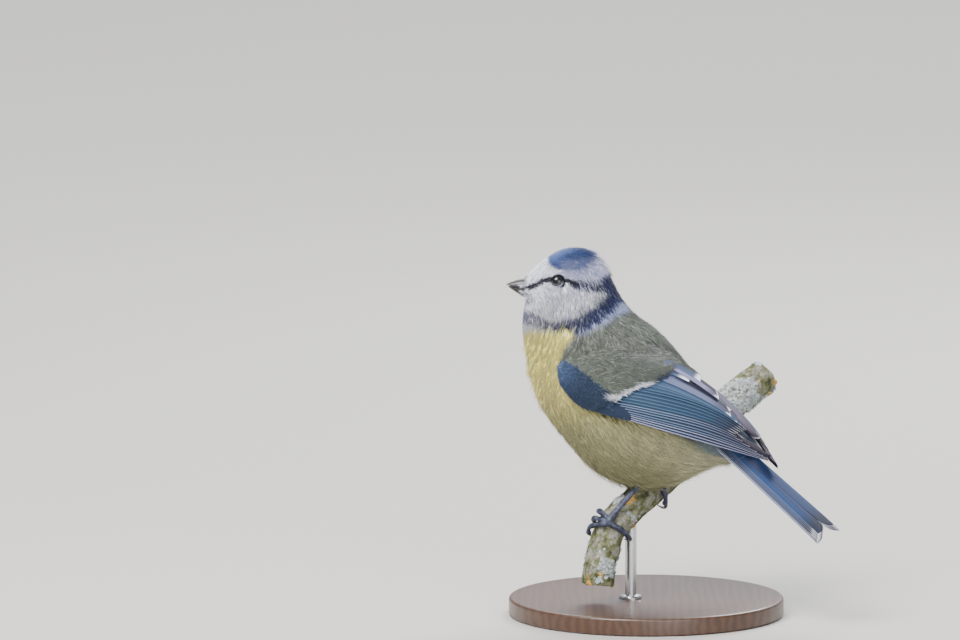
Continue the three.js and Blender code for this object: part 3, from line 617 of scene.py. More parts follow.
def plume(surface, a, b, look, colour_of, spec, zone, rng):
    """Feathers of several barbs each, fanned from a root.

    spec has the number of barbs, their width, fan and tuft, and length(a, b) and depth(a, b), the height
    of the tips over the skin. It may have heading(a, b), base(a, b), stray, tone and grain.
    """
    n, count = len(a), spec["barbs"]
    total = n * count
    length = spec["length"](a, b) * rng.normal(1, 0.1, n).clip(0.7, 1.3)
    heading = spec["heading"](a, b) if "heading" in spec else 0.0
    heading = heading + rng.normal(0, spec.get("stray", 0.09), n)
    tone = rng.normal(1, spec.get("tone", 0.1), n)

    def each(values):
        return np.repeat(values, count)

    fanned = np.tile(np.linspace(-1, 1, count), n)
    heading_b = each(heading) + fanned * spec["fan"] + rng.normal(0, 0.05, total)
    length_b = each(length) * (1 - 0.22 * fanned ** 2) * rng.uniform(0.82, 1.08, total)
    metric = surface.read(surface.stretch, a, b)
    along, across = each(metric[:, 0]), each(metric[:, 1])
    jitter = rng.normal(0, spec["tuft"], (total, 2))
    ab = each(a) + jitter[:, 0] / along
    bb = each(b) + (jitter[:, 1] + fanned * spec["tuft"]) / across
    depth = spec["depth"](ab, bb)
    lift = rng.uniform(0.75, 1.25, total) * each(rng.uniform(0.75, 1.25, n))
    base = spec["base"](ab, bb) if "base" in spec else -depth
    lifts = (base - 0.15, base + 0.65 * depth, base + depth * lift)
    out = 0.7 * length_b
    colour = colour_of(ab + out / along, bb + np.sin(heading_b) * out / across, look, rng)
    colour = colour * (each(tone) * rng.normal(1, spec.get("grain", 0.12), total))[:, None]
    width = spec["width"] * rng.uniform(0.75, 1.2, total)
    return barbs(surface, ab, bb, heading_b, length_b, width, lifts, colour.clip(0, 1), zone)


def coat_pieces(name, plumes, material):
    """Joins plumes and cuts them into pieces under the size limit."""
    points, tints, uvs = (np.concatenate(part) for part in zip(*plumes))
    corners = len(BARB_SHADE)
    total = len(points) // corners
    for i in range(math.ceil(total / PIECE_BARBS)):
        low, high = i * PIECE_BARBS, min(total, (i + 1) * PIECE_BARBS)
        cut = slice(low * corners, high * corners)
        faces = (BARB_FACES[None] + (np.arange(high - low) * corners)[:, None, None]).reshape(-1, 3)
        label = name if total <= PIECE_BARBS else name + "_" + str(i + 1)
        piece = new_mesh(label, points[cut], faces, tints[cut], uvs[cut], material)
        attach(piece, "root")


# Materials

class Field:
    """A socket of a node tree that takes part in sums."""

    def __init__(self, tree, socket):
        self.tree, self.socket = tree, socket

    def math(self, operation, *others):
        values = {"_" + str(k): value for k, value in enumerate((self,) + others)}
        return make_node(self.tree, "ShaderNodeMath", {"operation": operation}, **values)

    def other(self, label):
        """Another output of the same node."""
        return Field(self.tree, self.socket.node.outputs[label])

    def __add__(self, other):
        return self.math("ADD", other)

    def __mul__(self, other):
        return self.math("MULTIPLY", other)

    __radd__, __rmul__ = __add__, __mul__


def make_node(tree, kind, settings=None, output=0, **inputs):
    """Adds a node: its settings first, then its sockets by name, or by number as in _0."""
    node = tree.nodes.new(kind)
    for key, value in (settings or {}).items():
        if key == "stops":
            ramp = node.color_ramp.elements
            while len(ramp) < len(value):
                ramp.new(0.5)
            for stop, (place, colour) in zip(ramp, value):
                stop.position, stop.color = place, (*colour, 1)
        else:
            setattr(node, key, value)
    for key, value in inputs.items():
        socket = node.inputs[int(key[1:]) if key[0] == "_" else key.replace("_", " ")]
        if isinstance(value, Field):
            tree.links.new(value.socket, socket)
        else:
            socket.default_value = value
    return Field(tree, node.outputs[output])


class Finish:
    """A material with its main shader, and one method for any other node."""

    def __init__(self, name, **sockets):
        self.material = bpy.data.materials.new(name)
        self.material.use_nodes = True
        self.tree = self.material.node_tree
        self.main = self.tree.nodes["Principled BSDF"]
        for label, value in sockets.items():
            self.main.inputs[label.replace("_", " ")].default_value = value

    def node(self, kind, settings=None, output=0, **inputs):
        return make_node(self.tree, kind, settings, output, **inputs)

    def feed(self, label, field):
        self.tree.links.new(field.socket, self.main.inputs[label])

    def tint(self):
        return self.node("ShaderNodeAttribute", {"attribute_name": "tint"})

    def place(self, *scale):
        """Object coordinates, scaled along x, y and z."""
        spot = self.node("ShaderNodeTexCoord", output="Object")
        return self.node("ShaderNodeMapping", Vector=spot, Scale=scale)

    def noise(self, *scale, **inputs):
        return self.node("ShaderNodeTexNoise", Vector=self.place(*scale), Scale=1.0, **inputs)

    def bump(self, height, strength, distance=0.0002):
        self.feed("Normal", self.node("ShaderNodeBump", Height=height, Strength=strength, Distance=distance))

    def blend(self, amount, low, high):
        low, high = (c if isinstance(c, Field) else (*c, 1) for c in (low, high))
        return self.node("ShaderNodeMix", {"data_type": "RGBA"}, output=2, _0=amount, _6=low, _7=high)


class Growth:
    """A Geometry Nodes tree with named inputs that ends in Realize Instances and Set Material."""

    def __init__(self, name, **inputs):
        self.tree = bpy.data.node_groups.new(name, "GeometryNodeTree")
        for label, (kind, value) in inputs.items():
            socket = self.tree.interface.new_socket(label, in_out="INPUT", socket_type="NodeSocket" + kind)
            if value is not None:
                socket.default_value = value
        self.tree.interface.new_socket("Pieces", in_out="OUTPUT", socket_type="NodeSocketGeometry")
        self.source = self.tree.nodes.new("NodeGroupInput")

    def given(self, label):
        return Field(self.tree, self.source.outputs[label])

    def node(self, kind, settings=None, output=0, **inputs):
        return make_node(self.tree, kind, settings, output, **inputs)

    def close(self, copies):
        real = self.node("GeometryNodeRealizeInstances", _0=copies)
        painted = self.node("GeometryNodeSetMaterial", _0=real, Material=self.given("Finish"))
        self.tree.links.new(painted.socket, self.tree.nodes.new("NodeGroupOutput").inputs[0])
        return self.tree


def plumage_finish(name, roughness=0.62, sheen=0.25):
    """Soft small feathers in the colours of their points."""
    f = Finish(name, Roughness=roughness, Specular_IOR_Level=0.28, Sheen_Weight=sheen, Sheen_Roughness=0.4)
    f.feed("Base Color", f.tint())
    return f.material


def vane_finish(name):
    """Feather vanes: fine slanting barbs on both sides of the shaft."""
    f = Finish(name, Roughness=0.6, Specular_IOR_Level=0.14)
    u = f.node("ShaderNodeSeparateXYZ", Vector=f.node("ShaderNodeUVMap", {"uv_map": "Vane"}))
    slant = u + u.other("Y").math("ABSOLUTE") * -0.045
    barb = (slant * 900).math("SINE") * 0.5 + 0.5
    dim = f.node("ShaderNodeHueSaturation", Color=f.tint(), Value=barb * 0.16 + 0.9)
    f.feed("Base Color", dim)
    f.bump(barb * 0.75 + f.noise(900, 900, 900) * 0.4, 0.25, 0.0001)
    return f.material


# Feather vanes

# Places of a vane's points along it and across it, from its inner to its outer edge
VANE_ALONG = np.concatenate([np.linspace(0, 0.8, 11)[:-1], 1 - 0.2 * np.linspace(1, 0, 11) ** 2])
VANE_ACROSS = [-1, -0.92, -0.75, -0.45, -0.2, -0.04, 0.04, 0.2, 0.45, 0.62, 0.75, 0.85, 0.93, 1]

# Tips of the feathers on the wing's face as (a, b), lowest first. Tertials have their start, tip, lift,
# half-width and depth of white tip, and greater coverts their tip and depth of white tip.
NO_TIP = 0.0001
PRIMARY_TIPS = [(1.005, 0.98), (1.0, 0.86), (0.985, 0.77), (0.955, 0.72), (0.925, 0.67), (0.895, 0.61),
                (0.865, 0.565), (0.842, 0.53)]
SECONDARY_TIPS = [(0.835, 0.485), (0.84, 0.43), (0.845, 0.375), (0.85, 0.325), (0.855, 0.275), (0.86, 0.225)]
TERTIALS = [
    ((0.34, 0.46), (0.852, 0.235), 0.42, 2.5, 0.012), ((0.34, 0.40), (0.838, 0.24), 0.5, 2.7, 0.012),
    ((0.36, 0.35), (0.822, 0.25), 0.58, 2.9, 0.016), ((0.40, 0.26), (0.795, 0.24), 0.72, 3.0, 0.04),
    ((0.46, 0.08), (0.722, 0.10), 0.9, 2.9, 0.06),
]
COVERT_TIPS = [
    (0.372, 0.80, NO_TIP), (0.378, 0.74, NO_TIP), (0.386, 0.68, 0.055), (0.396, 0.62, 0.055),
    (0.406, 0.56, 0.055), (0.42, 0.50, 0.055), (0.435, 0.44, 0.055), (0.455, 0.37, 0.055),
    (0.49, 0.29, 0.055), (0.515, 0.22, NO_TIP), (0.59, 0.13, 0.26), (0.625, 0.0, 0.16),
]

def vanes(name, feathers, material, slot, *nodes):
    """Closed curved vanes from a list of dicts, joined as one piece.

    Each has place(u, v) for points and normals, half(u) for half its width, and paint(u, v) for colours.
    """
    u, v = np.meshgrid(VANE_ALONG, VANE_ACROSS, indexing="ij")
    rows, cols = u.shape
    count = rows * cols
    j, k = np.meshgrid(np.arange(rows - 1), np.arange(cols - 1), indexing="ij")
    a = (j * cols + k).ravel()
    b, c, d = a + 1, a + cols, a + cols + 1
    upper = np.concatenate([np.stack([a, b, d], -1), np.stack([a, d, c], -1)])
    rim = np.concatenate([
        np.arange(cols), np.arange(1, rows) * cols + cols - 1,
        (rows - 1) * cols + np.arange(cols - 2, -1, -1), np.arange(rows - 2, 0, -1) * cols,
    ])
    after = np.roll(rim, -1)
    corners = np.concatenate([
        upper, upper[:, ::-1] + count,
        np.stack([rim, rim + count, after + count], -1), np.stack([rim, after + count, after], -1),
    ])
    grid = math.ceil(math.sqrt(len(feathers)))
    shells, tints, spots = [], [], []
    for index, feather in enumerate(feathers):
        lie, up = feather["place"](u, v)
        along = unit(np.gradient(lie, axis=0))
        off_shaft = v - feather.get("shaft", 0.0)
        bow = feather.get("camber", 0.1) * (1 - off_shaft ** 2) + feather.get("tilt", 0.0) * v
        quill = 0.05 * np.exp(-(off_shaft / 0.08) ** 2) * (1 - 0.8 * u)
        drawn_back = feather.get("round", 1.0) * feather["half"](u) * 0.55 * off_shaft ** 2
        drawn_back = drawn_back * step(0.75, 1.0, u)
        top = lie - along * drawn_back[..., None] + up * (bow + quill)[..., None]
        thick = feather.get("thick", 0.14) * (1 - 0.5 * np.abs(v)) * (1 - 0.5 * u)
        shells.append((np.stack([top, top - up * (thick + quill)[..., None]]), corners))
        tint = feather["paint"](u, v).reshape(-1, 3)
        # Partly painted shade and partly the duller underside: the underside takes the upper colours at 0.55
        tints += [tint, tint * 0.55]
        flat = np.stack([u, (v + 1) / 2], -1).reshape(-1, 2) * 0.94 / grid
        spots += [flat + np.array(divmod(index, grid), float) / grid] * 2
    points, faces = join_shells(shells)
    ways = np.tile(np.stack([u, v], -1).reshape(-1, 2), (2 * len(feathers), 1))
    obj = new_mesh(name, points, faces, np.concatenate(tints), np.concatenate(spots), material, ways)
    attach(obj, "root")
    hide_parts(*nodes)


def feather_width(half, point, root):
    """Half-width along a vane: narrow root, full middle, rounded or pointed tip."""
    def at(u):
        tip = np.sqrt(np.clip(1 - ((u - (1 - point)) / point).clip(0) ** 2, 0.012, 1))
        return half * tip * mix(root, 1, step(0, 0.3, u))
    return at


def on_wing(side, start, end, lift, half, point=0.3, root=0.6, **more):
    """A vane that lies along the wing's face, its lower edge running from start to end."""
    surface = wings[side]
    shape = feather_width(half, point, root)

    def place(u, v):
        a, edge = mix(start[0], end[0], u), mix(start[1], end[1], u)
        wide = shape(u) * mix(1.0, 0.66, step(0.45, 1, a))
        pitch = surface.read(surface.stretch, a, edge)[..., 1]
        return surface.at(a, edge - (1 - v) * wide / pitch, lift - 1 + step(0, 0.22, u))

    return {"place": place, "half": shape, **more}


def wing_feathers(side, look):
    """All the larger feathers of one folded wing, lowest layer first."""
    made = []
    teal, dark, brown, white = look.vane, look.vane_dark, look.vane_brown, look.tip_white
    if side < 0:
        dark, teal = brown * 4.0, mix(teal, brown * 4.0, 0.6)

    def flight(pale, edge, brown_from, arc, inner=0.5):
        """Dark inner web, also painted shadow under the next feather, teal outer web with a pale edge, and a
        white arc round the tip.
        """
        def paint(u, v):
            # Painted shadow: the dark inner web reaches into the visible strip, where the next feather's
            # shadow falls
            base = mix(dark, teal, step(inner, inner + 0.3, v)[..., None])
            base = mix(base, brown, (step(brown_from, 1, u) * 0.85)[..., None])
            line = step(1 - edge * 1.6, 1 - edge * 0.8, v) * mix(0.95, 0.6, step(0.5, 1, u))
            base = mix(base, pale, line[..., None])
            rim = np.minimum((1 - v) * 2.0, (1 - u) * 42)
            tip = step(0.28, 0.1, rim) * step(0.95, 0.98, u) * arc * 0.7
            return np.clip(mix(base, white, tip[..., None]), 0, 1)
        return paint

    def tertial(inner, outer, tip_depth):
        """Dark inner web, pale outer web and a deep white tip."""
        def paint(u, v):
            base = mix(outer, inner, (step(0.25, -0.05, v) * step(0.2, 0.5, u))[..., None])
            base = mix(base, inner, (step(0.72, 0.9, u) * 0.6)[..., None])
            base = mix(base, look.vane_edge, (step(0.86, 0.97, v) * 0.6)[..., None])
            arch = 1 - tip_depth + 0.25 * tip_depth * np.cos(v * 3)
            tip = step(0.0, 0.014, u - arch) * step(1.15, 0.6, np.abs(v + 0.1))
            return np.clip(mix(base, white, tip[..., None] * 0.9), 0, 1)
        return paint

    def covert(tint, depth):
        """Blue with a dark base and inner web and, where depth is given, a white tip."""
        def paint(u, v):
            base = mix(look.slate, tint, step(-0.6, 0.5, v)[..., None])
            base = mix(base, look.slate, (step(0.2, 0.0, u) * 0.6)[..., None])
            base = mix(base, look.vane_edge, (step(0.8, 0.98, v) * 0.12)[..., None])
            tip = step(1 - depth * 1.15, 1 - depth * 0.4, u) * step(1.0, 0.75, np.abs(v))
            return np.clip(mix(base, white, (tip * 0.85)[..., None]), 0, 1)
        return paint

    for k, tip in enumerate(PRIMARY_TIPS):
        pale = mix(look.vane_edge, look.vane_lilac, 0.8 if k < 3 else 0.25)
        made.append(on_wing(side, (0.3, 0.95 - 0.033 * k), tip, -0.4 + 0.06 * k, 2.1, point=0.28,
                            shaft=0.45, tilt=0.28, paint=flight(pale, 0.08, 0.45, 0.55)))
    pale = mix(look.vane_edge, teal, 0.45)
    for k, tip in enumerate(SECONDARY_TIPS):
        made.append(on_wing(side, (0.3, 0.68 - 0.045 * k), tip, 0.08 + 0.06 * k, 2.5, point=0.16,
                            shaft=0.3, tilt=0.28, paint=flight(pale, 0.09, 0.72, 0.75, 0.35)))

    panel = look.panel
    outers = [mix(panel, teal, share) for share in (0.7, 0.5, 0.3)]
    outers += [mix(panel, look.tertial, 0.35), look.tertial]
    for (start, tip, lift, half, depth), outer in zip(TERTIALS, outers):
        inner = look.tertial_dark if lift > 0.6 else mix(look.tertial_dark, outer, 0.6)
        # Painted shade: on the far wing the tertials' outer webs are darkened to 0.45, and they lie lower
        if side < 0:
            lift, outer = lift - 0.6, outer * 0.45
        made.append(on_wing(side, start, tip, lift, half, point=0.17, shaft=0.05, tilt=0.3, camber=0.16,
                            root=0.8, round=1.1, paint=tertial(inner, outer, depth)))

    for k in range(4):
        tip = (mix(0.47, 0.385, k / 3), 0.955 - 0.045 * k)
        made.append(on_wing(side, (0.2 - 0.02 * k, 0.97 - 0.05 * k), tip, 0.3 + 0.08 * k, 1.5, point=0.35,
                            tilt=0.2, paint=covert(look.slate, NO_TIP)))
    for k, (a, b, depth) in enumerate(COVERT_TIPS):
        blue = mix(look.coverts, panel, step(5, 11, k))
        made.append(on_wing(side, (a - 0.2, b + 0.05), (a, b), 0.5 + 0.04 * k, 1.6, point=0.1, tilt=0.22,
                            camber=0.1, root=0.8, round=0.3, paint=covert(blue, depth)))
    return made


def tail_half(distance):
    """Half the tail's width at a distance from its root."""
    return mix(TAIL_HALF[0], TAIL_HALF[1], distance / TAIL_LENGTH)


def tail_point(distance, across, height):
    """Bird frame place on the tail, whose upper face falls away to both sides."""
    h = height - 0.9 * (across / tail_half(distance)) ** 2
    c, s = math.cos(TAIL_SLOPE), math.sin(TAIL_SLOPE)
    return np.stack([TAIL_ROOT[0] - c * distance - s * h, across, TAIL_ROOT[1] - s * distance + c * h], -1)


def tail_feather(pair, side, look):
    """One tail feather; pair 0 is the middle one on top, and pair 5 the outermost."""
    length = TAIL_LENGTH - TAIL_FORK * (1 - pair / 5)
    height = 0.75 - (pair + (0.5 if side > 0 else 0)) / 6
    shape = feather_width(3.0, 0.06, 0.85)
    rim_white = {5: 1.0, 4: 0.55}.get(pair, 0.16)

    def place(u, v):
        distance = u * length
        edge = tail_half(distance) - 0.1 - 0.42 * (5 - pair)
        across = side * (edge - (1 - v) * shape(u))
        up = np.stack([0 * u - math.sin(TAIL_SLOPE), 0.12 * across, 0 * u + math.cos(TAIL_SLOPE)], -1)
        return to_part(tail_point(distance, across, height)), to_part(up) - to_part(np.zeros(3))

    def paint(u, v):
        base = mix(look.tail_deep, look.tail, (step(-0.4, 0.5, v) * (1.0 if pair < 2 else 0.15))[..., None])
        base = mix(base, look.tail_deep, ((1 - step(0.02, 0.3, u)) * 0.5)[..., None])
        base = mix(base, look.vane_dark, (step(0.8, 0.95, u) * 0.85)[..., None])
        base = mix(base, look.quill, np.exp(-(v / 0.06) ** 2)[..., None] * 0.6)
        side_rim, tip_rim = (1 - np.abs(v)) * 3.0, (1 - u) * length
        line = step(0.32, 0.1, side_rim) * np.where(v > 0, rim_white, 0.0)
        tip = step(0.3, 0.1, np.minimum(side_rim, tip_rim)) * step(0.94, 0.97, u) * (0.9 if pair < 4 else 0.6)
        return np.clip(mix(base, look.tip_white, np.maximum(line, tip)[..., None]), 0, 1)

    return {"place": place, "half": shape, "camber": 0.1, "round": 0.4, "thick": 0.16, "paint": paint}


# Eye, bill and legs

def place_on_side(x, z):
    """Station and angle of the straight body's left side at x and z."""
    s, angle = np.meshgrid(np.arange(0, 8, 0.05), np.arange(10, 170, 1) * DEG, indexing="ij")
    p = body_point(s, angle, straight=True)
    k = np.argmin(np.hypot(p[..., 0] - x, p[..., 2] - z))
    return s.ravel()[k], angle.ravel()[k]


def eye_place(side):
    """Centre of an eye and the way that it looks."""
    s, angle = place_on_side(EYE["x"], EYE["z"])
    p, n = body.at(np.array([s]), np.array([angle * side]))
    return p[0] + n[0] * (EYE["proud"] - EYE["radius"]), n[0]


def perch_frame(t):
    """Point on the perch's middle line, the ways along, across and above it, and its radius."""
    t = np.asarray(t, float)
    point = smooth_at(PERCH_AXIS, t)
    along = unit(smooth_at(PERCH_AXIS, t + 0.05) - smooth_at(PERCH_AXIS, t - 0.05))
    over = unit(np.stack([-along[..., 1], along[..., 0], 0 * along[..., 0]], -1))
    return point, along, over, np.cross(along, over), smooth_at(PERCH_RADIUS, t)


def on_bark(t, angle, shift, height):
    """Place over the bark at an angle from the perch's upper side."""
    point, along, over, top, radius = perch_frame(t)
    reach = (radius + BARK + GAP + np.asarray(height))[..., None]
    angle = np.asarray(angle)[..., None]
    shift = np.asarray(shift)[..., None]
    return point + along * shift + top * reach * np.cos(angle) + over * reach * np.sin(angle)


def toe_path(leg, toe, steps):
    """Middle line of a toe round the perch and its radii."""
    u = np.linspace(0, 1, steps)
    thick = toe["radius"] * (1 - 0.22 * u)
    path = on_bark(np.full(steps, leg["along"]), leg["joint"] + toe["wrap"] * DEG * u,
                   toe["spread"] * leg["side"] * np.sqrt(u), thick)
    return u, path, thick


def claw_rings(leg, toe):
    """Rings of a claw that arches from the toe's end down to the bark."""
    steps = 14
    u = np.linspace(0, 1, steps)
    reach = float(smooth_at(PERCH_RADIUS, leg["along"])) + 1.2
    way = math.copysign(1, toe["wrap"])
    start = leg["joint"] + toe["wrap"] * DEG + way * (GAP - 0.45) / reach
    angle = start + way * toe["claw"] * u / reach
    height = mix(toe["radius"] * 0.8, 0.15, u ** 2) + 0.9 * np.sin(math.pi * u ** 0.8)
    path = on_bark(np.full(steps, leg["along"]), angle, np.full(steps, toe["spread"] * leg["side"]), height)
    return tube(path, mix(toe["radius"] * 0.72, 0.1, u ** 1.15), 12)


# Settings

def colour_setting(name, description, r, g, b):
    return bpy.props.FloatVectorProperty(
        name=name, description=description, subtype="COLOR", size=3, min=0, max=1, default=srgb(r, g, b))


class PlumageSettings(bpy.types.PropertyGroup):
    cap: colour_setting("Cap", "Blue of the cap", 44, 68, 124)
    cap_deep: colour_setting("Cap strands", "Darker strands of the cap", 28, 42, 84)
    cap_bright: colour_setting("Cap front", "Brighter blue at the front of the cap", 72, 100, 158)
    cheek: colour_setting("Cheek", "White of cheek and forehead", 250, 251, 255)
    # Painted shade between the white strands of the cheek, in lilac grey
    cheek_shade: colour_setting("Cheek shade", "Lilac-grey strands between the white ones", 158, 164, 208)
    lavender: colour_setting("Brow", "Lilac white of the brow", 178, 182, 222)
    collar: colour_setting("Collar", "Dark navy of collar and bib", 24, 34, 80)
    eye_line: colour_setting("Eye line", "Black-blue of the line through the eye", 22, 26, 44)
    nape: colour_setting("Nape", "Grey-blue patch behind the collar", 168, 180, 220)
    throat: colour_setting("Throat", "Pale upper edge of the breast", 226, 228, 214)
    breast: colour_setting("Breast", "Yellow of the breast", 254, 240, 140)
    # Partly the breast's paler middle, partly painted light along its front outline
    breast_edge: colour_setting("Breast middle", "Paler middle of the breast", 236, 226, 168)
    # The belly's olive is partly its own colour and partly painted shade under the body
    belly: colour_setting("Belly", "Olive yellow of the belly", 172, 168, 124)
    vent: colour_setting("Vent", "Whitish vent and undertail", 168, 164, 128)
    mantle_high: colour_setting("Mantle, high", "Pale grey-olive of the upper back", 134, 140, 132)
    mantle: colour_setting("Mantle", "Grey-olive of the back", 104, 112, 98)
    mantle_dark: colour_setting("Mantle strands", "Dark strands of the back", 66, 72, 64)
    rump: colour_setting("Rump", "Blue-grey of the rump", 104, 124, 140)
    density: bpy.props.FloatProperty(
        name="Density", description="Share of the full number of small feathers", default=1.0, min=0.05,
        max=1.0)


class WingSettings(bpy.types.PropertyGroup):
    shoulder: colour_setting("Shoulder", "Bright blue of the shoulder", 80, 102, 142)
    coverts: colour_setting("Coverts", "Blue of the coverts", 46, 62, 86)
    slate: colour_setting("Slate", "Dark bases of the coverts", 34, 44, 64)
    vane: colour_setting("Vane", "Teal blue of the flight feathers", 34, 54, 76)
    # Dark inner webs, also used as painted shadow under the next feather
    vane_dark: colour_setting("Vane, dark", "Dark inner webs", 14, 18, 32)
    vane_brown: colour_setting("Vane, tip", "Purple brown towards the tips", 42, 36, 48)
    vane_edge: colour_setting("Edge", "Pale blue edges", 86, 112, 138)
    vane_lilac: colour_setting("Lilac edge", "Lilac edges of the outer primaries", 176, 172, 204)
    panel: colour_setting("Panel", "Blue-grey outer webs above the flight feathers", 62, 80, 108)
    tertial: colour_setting("Tertial", "Lilac grey of the top tertial", 118, 114, 146)
    tertial_dark: colour_setting("Tertial, dark", "Dark webs of the tertials", 36, 34, 54)
    tip_white: colour_setting("Tips", "White feather tips", 240, 242, 252)
    tail: colour_setting("Tail", "Azure of the tail", 25, 54, 98)
    tail_deep: colour_setting("Tail, deep", "Deeper blue of the tail", 30, 46, 82)
    quill: colour_setting("Quill", "Dark feather shafts", 30, 30, 46)


class PerchSettings(bpy.types.PropertyGroup):
    lichen_seed: bpy.props.IntProperty(name="Lichen seed", description="Scatter of the lichen", default=4)
    lichen_scale: bpy.props.FloatProperty(
        name="Lobe size", description="Width of one lichen lobe", default=0.00085, unit="LENGTH")
    bark_high: colour_setting("Bark", "Grey-olive bark", 118, 122, 88)
    # Partly the cracks' own dark bark and partly painted shade in the hollows
    bark_low: colour_setting("Bark cracks", "Dark bark in the cracks", 52, 48, 36)
    lichen: colour_setting("Lichen", "Grey-white lichen", 164, 172, 170)
    orange: colour_setting("Orange lichen", "Orange-yellow lichen", 214, 158, 62)


class StandSettings(bpy.types.PropertyGroup):
    wood: colour_setting("Base", "Stained wood of the base", 84, 56, 38)
    rod_roughness: bpy.props.FloatProperty(
        name="Rod roughness", description="Roughness of the steel rod", default=0.28, min=0, max=1)


class StageSettings(bpy.types.PropertyGroup):
    floor: colour_setting("Floor", "Pale floor", 184, 182, 178)
    key: bpy.props.FloatProperty(name="Key light", description="Strength of the main light", default=16.5)


class Look:
    """The colours that the painting functions read."""

    def __init__(self, scene):
        for group in (scene.tit_plumage, scene.tit_wings):
            for key in group.bl_rna.properties.keys():
                if key not in ("name", "rna_type", "density"):
                    setattr(self, key, np.array(tuple(getattr(group, key))))


# Operators

# Loose tufts that break the outline: count, stations, angles from the back's middle, rise, length
LOOSE_TUFTS = [
    (70, 5.0, 6.5, (-0.1, 0.8), 2.0, 3.4), (260, 4.5, 9.2, (2.2, 3.2), 2.2, 3.2),
    (120, 9.2, 13, (2.2, 3.2), 1.9, 4.6), (200, 5.2, 7.6, (0.9, 2.2), 2.2, 4.2),
    (260, 15.6, 18.4, (0.9, 2.6), 2.4, 8.5), (160, 12, 15.5, (2.3, 3.2), 2.6, 5.5),
]

# Folds of the lids: distance from the pupil, thickness, height, and angles of an arc
LID_FOLDS = [(1.48, 0.15, 0.93, None), (1.72, 0.13, 0.74, None),
             (1.95, 0.07, 0.55, (0.62 * math.pi, 1.38 * math.pi))]
LID_DARK, LID_PALE = (np.array(srgb(*c)) for c in ((16, 18, 28), (188, 192, 206)))

# Whole numbers that scatter the noise of the bark's relief
HASH_STEPS = (374761393, 668265263, 2147483647)
HASH_FACTOR = 1274126177


def skin_depth(s):
    """How deep the skin lies under the feathers' tips, in millimetres."""
    return np.interp(s, [0, 1.5, 4, 8, 12, LAST], [0.3, 0.6, 0.9, 1.1, 1.3, 1.2])


class TIT_OT_skin(bpy.types.Operator):
    """One skin under the feathers of head, neck, torso and wings"""

    bl_idname = "tit.skin"
    bl_label = "Skin"

    def execute(self, context):
        look = Look(context.scene)
        rng = np.random.default_rng(SKIN_SEED)
        rows, sides = 190, 150
        s, angle = np.meshgrid(np.linspace(0, LAST, rows), round_angles(sides) - math.pi, indexing="ij")
        p, n = body.at(s, angle)
        tint = body_colour(s, angle, look, rng)
        shells = [(p - n * skin_depth(s)[..., None], tube_faces(rows, sides))]
        # Painted shade: the skin takes the coat's colours darkened, dark colours the most, for the shade
        # under the feathers
        tints = [(tint * (0.6 + 0.3 * tint.mean(-1, keepdims=True))).reshape(-1, 3)]
        (u0, v0), (du, dv) = BODY_ZONE
        spots = [np.stack([u0 + s / LAST * du, v0 + (angle / (2 * math.pi) + 0.5) * dv], -1).reshape(-1, 2)]

        # A pad under each folded wing, rounded where it meets the body
        rows, sides = 60, 24
        lower_edge = 0.95
        a, b = np.meshgrid(np.linspace(0.0, 0.88, rows), np.linspace(0.0, lower_edge, sides), indexing="ij")
        thick = np.interp(a, [0, 0.25, 0.5, 0.75, 1], [4.0, 6.5, 7.5, 4.0, 0.8])
        sink = np.interp(a, [0.0, 0.07, 0.25, 0.38, 1], [1.6, -0.15, -0.1, 1.3, 1.4])
        rim = np.minimum(1, np.minimum(b, lower_edge - b) / 0.14)
        rounding = (1 - np.sqrt(np.clip(1 - (1 - rim) ** 2, 0, 1))) * 1.8
        for k, side in enumerate((1, -1)):
            top, normal = wings[side].at(a, b)
            outer = top - normal * (sink + rounding)[..., None]
            inner = top - normal * thick[..., None]
            shells.append((np.concatenate([outer, inner[:, ::-1]], 1), tube_faces(rows, sides * 2)))
            # Painted shade: the pad takes the small feathers' colours at 0.6, for the shade under the wing
            tone = wing_colour(a, b, look, rng) * 0.6
            tints.append(np.concatenate([tone, tone[:, ::-1]], 1).reshape(-1, 3))
            spot = np.stack([0.6 + k * 0.2 + a * 0.15, 0.1 + b * 0.4], -1)
            spots.append(np.concatenate([spot, spot[:, ::-1] + (0, 0.45)], 1).reshape(-1, 2))
        points, faces = join_shells(shells)
        skin = new_mesh("skin", points, faces, np.concatenate(tints), np.concatenate(spots),
                        plumage_finish("skin_down", 0.8, 0.1))
        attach(skin, "root")
        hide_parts("head", "neck", "torso")
        return {"FINISHED"}


def hidden_by_wing(s, angle):
    """True where a place on the body lies well under a folded wing."""
    shallow, deepest, reach, chunk_size = 0.4, 12, 1.9, 20000
    p, _ = body.at(s, angle)
    hidden = np.zeros(len(s), bool)
    a, b = np.meshgrid(np.linspace(0.1, 0.8, 22), np.linspace(0.14, 0.86, 12), indexing="ij")
    for side in (1, -1):
        spot, normal = wings[side].at(a.ravel(), b.ravel())
        for chunk in np.array_split(np.arange(len(s)), max(1, len(s) // chunk_size)):
            d = p[chunk][:, None] - spot[None]
            deep = -(d * normal[None]).sum(-1)
            flat = np.linalg.norm(d + normal[None] * deep[..., None], axis=-1)
            hidden[chunk] |= ((deep > shallow) & (deep < deepest) & (flat < reach)).any(-1)
    return hidden


def clear_of_eyes(s, angle):
    """True where a place on the body lies outside the ring of the lids."""
    p, _ = body.at(s, angle)
    keep = np.ones(len(s), bool)
    for side in (1, -1):
        centre, look = eye_place(side)
        d = p - centre
        keep &= np.linalg.norm(d - (d @ look)[:, None] * look, axis=-1) > EYE["clear"]
    return keep


def even(value):
    """A length, depth or direction that is the same all over."""
    return lambda a, b: value + 0 * a


def varied(places, values):
    """A length or depth that changes along a surface's first direction."""
    return lambda a, b: np.interp(a, places, values)


def down_the_cheek(a, b):
    """Direction of the feathers on the sides of the head, from the crown down."""
    turn = np.abs(b)
    return np.sign(b) * 0.5 * step(0.9, 1.5, turn) * step(2.9, 2.2, turn) * step(1, 3, a)


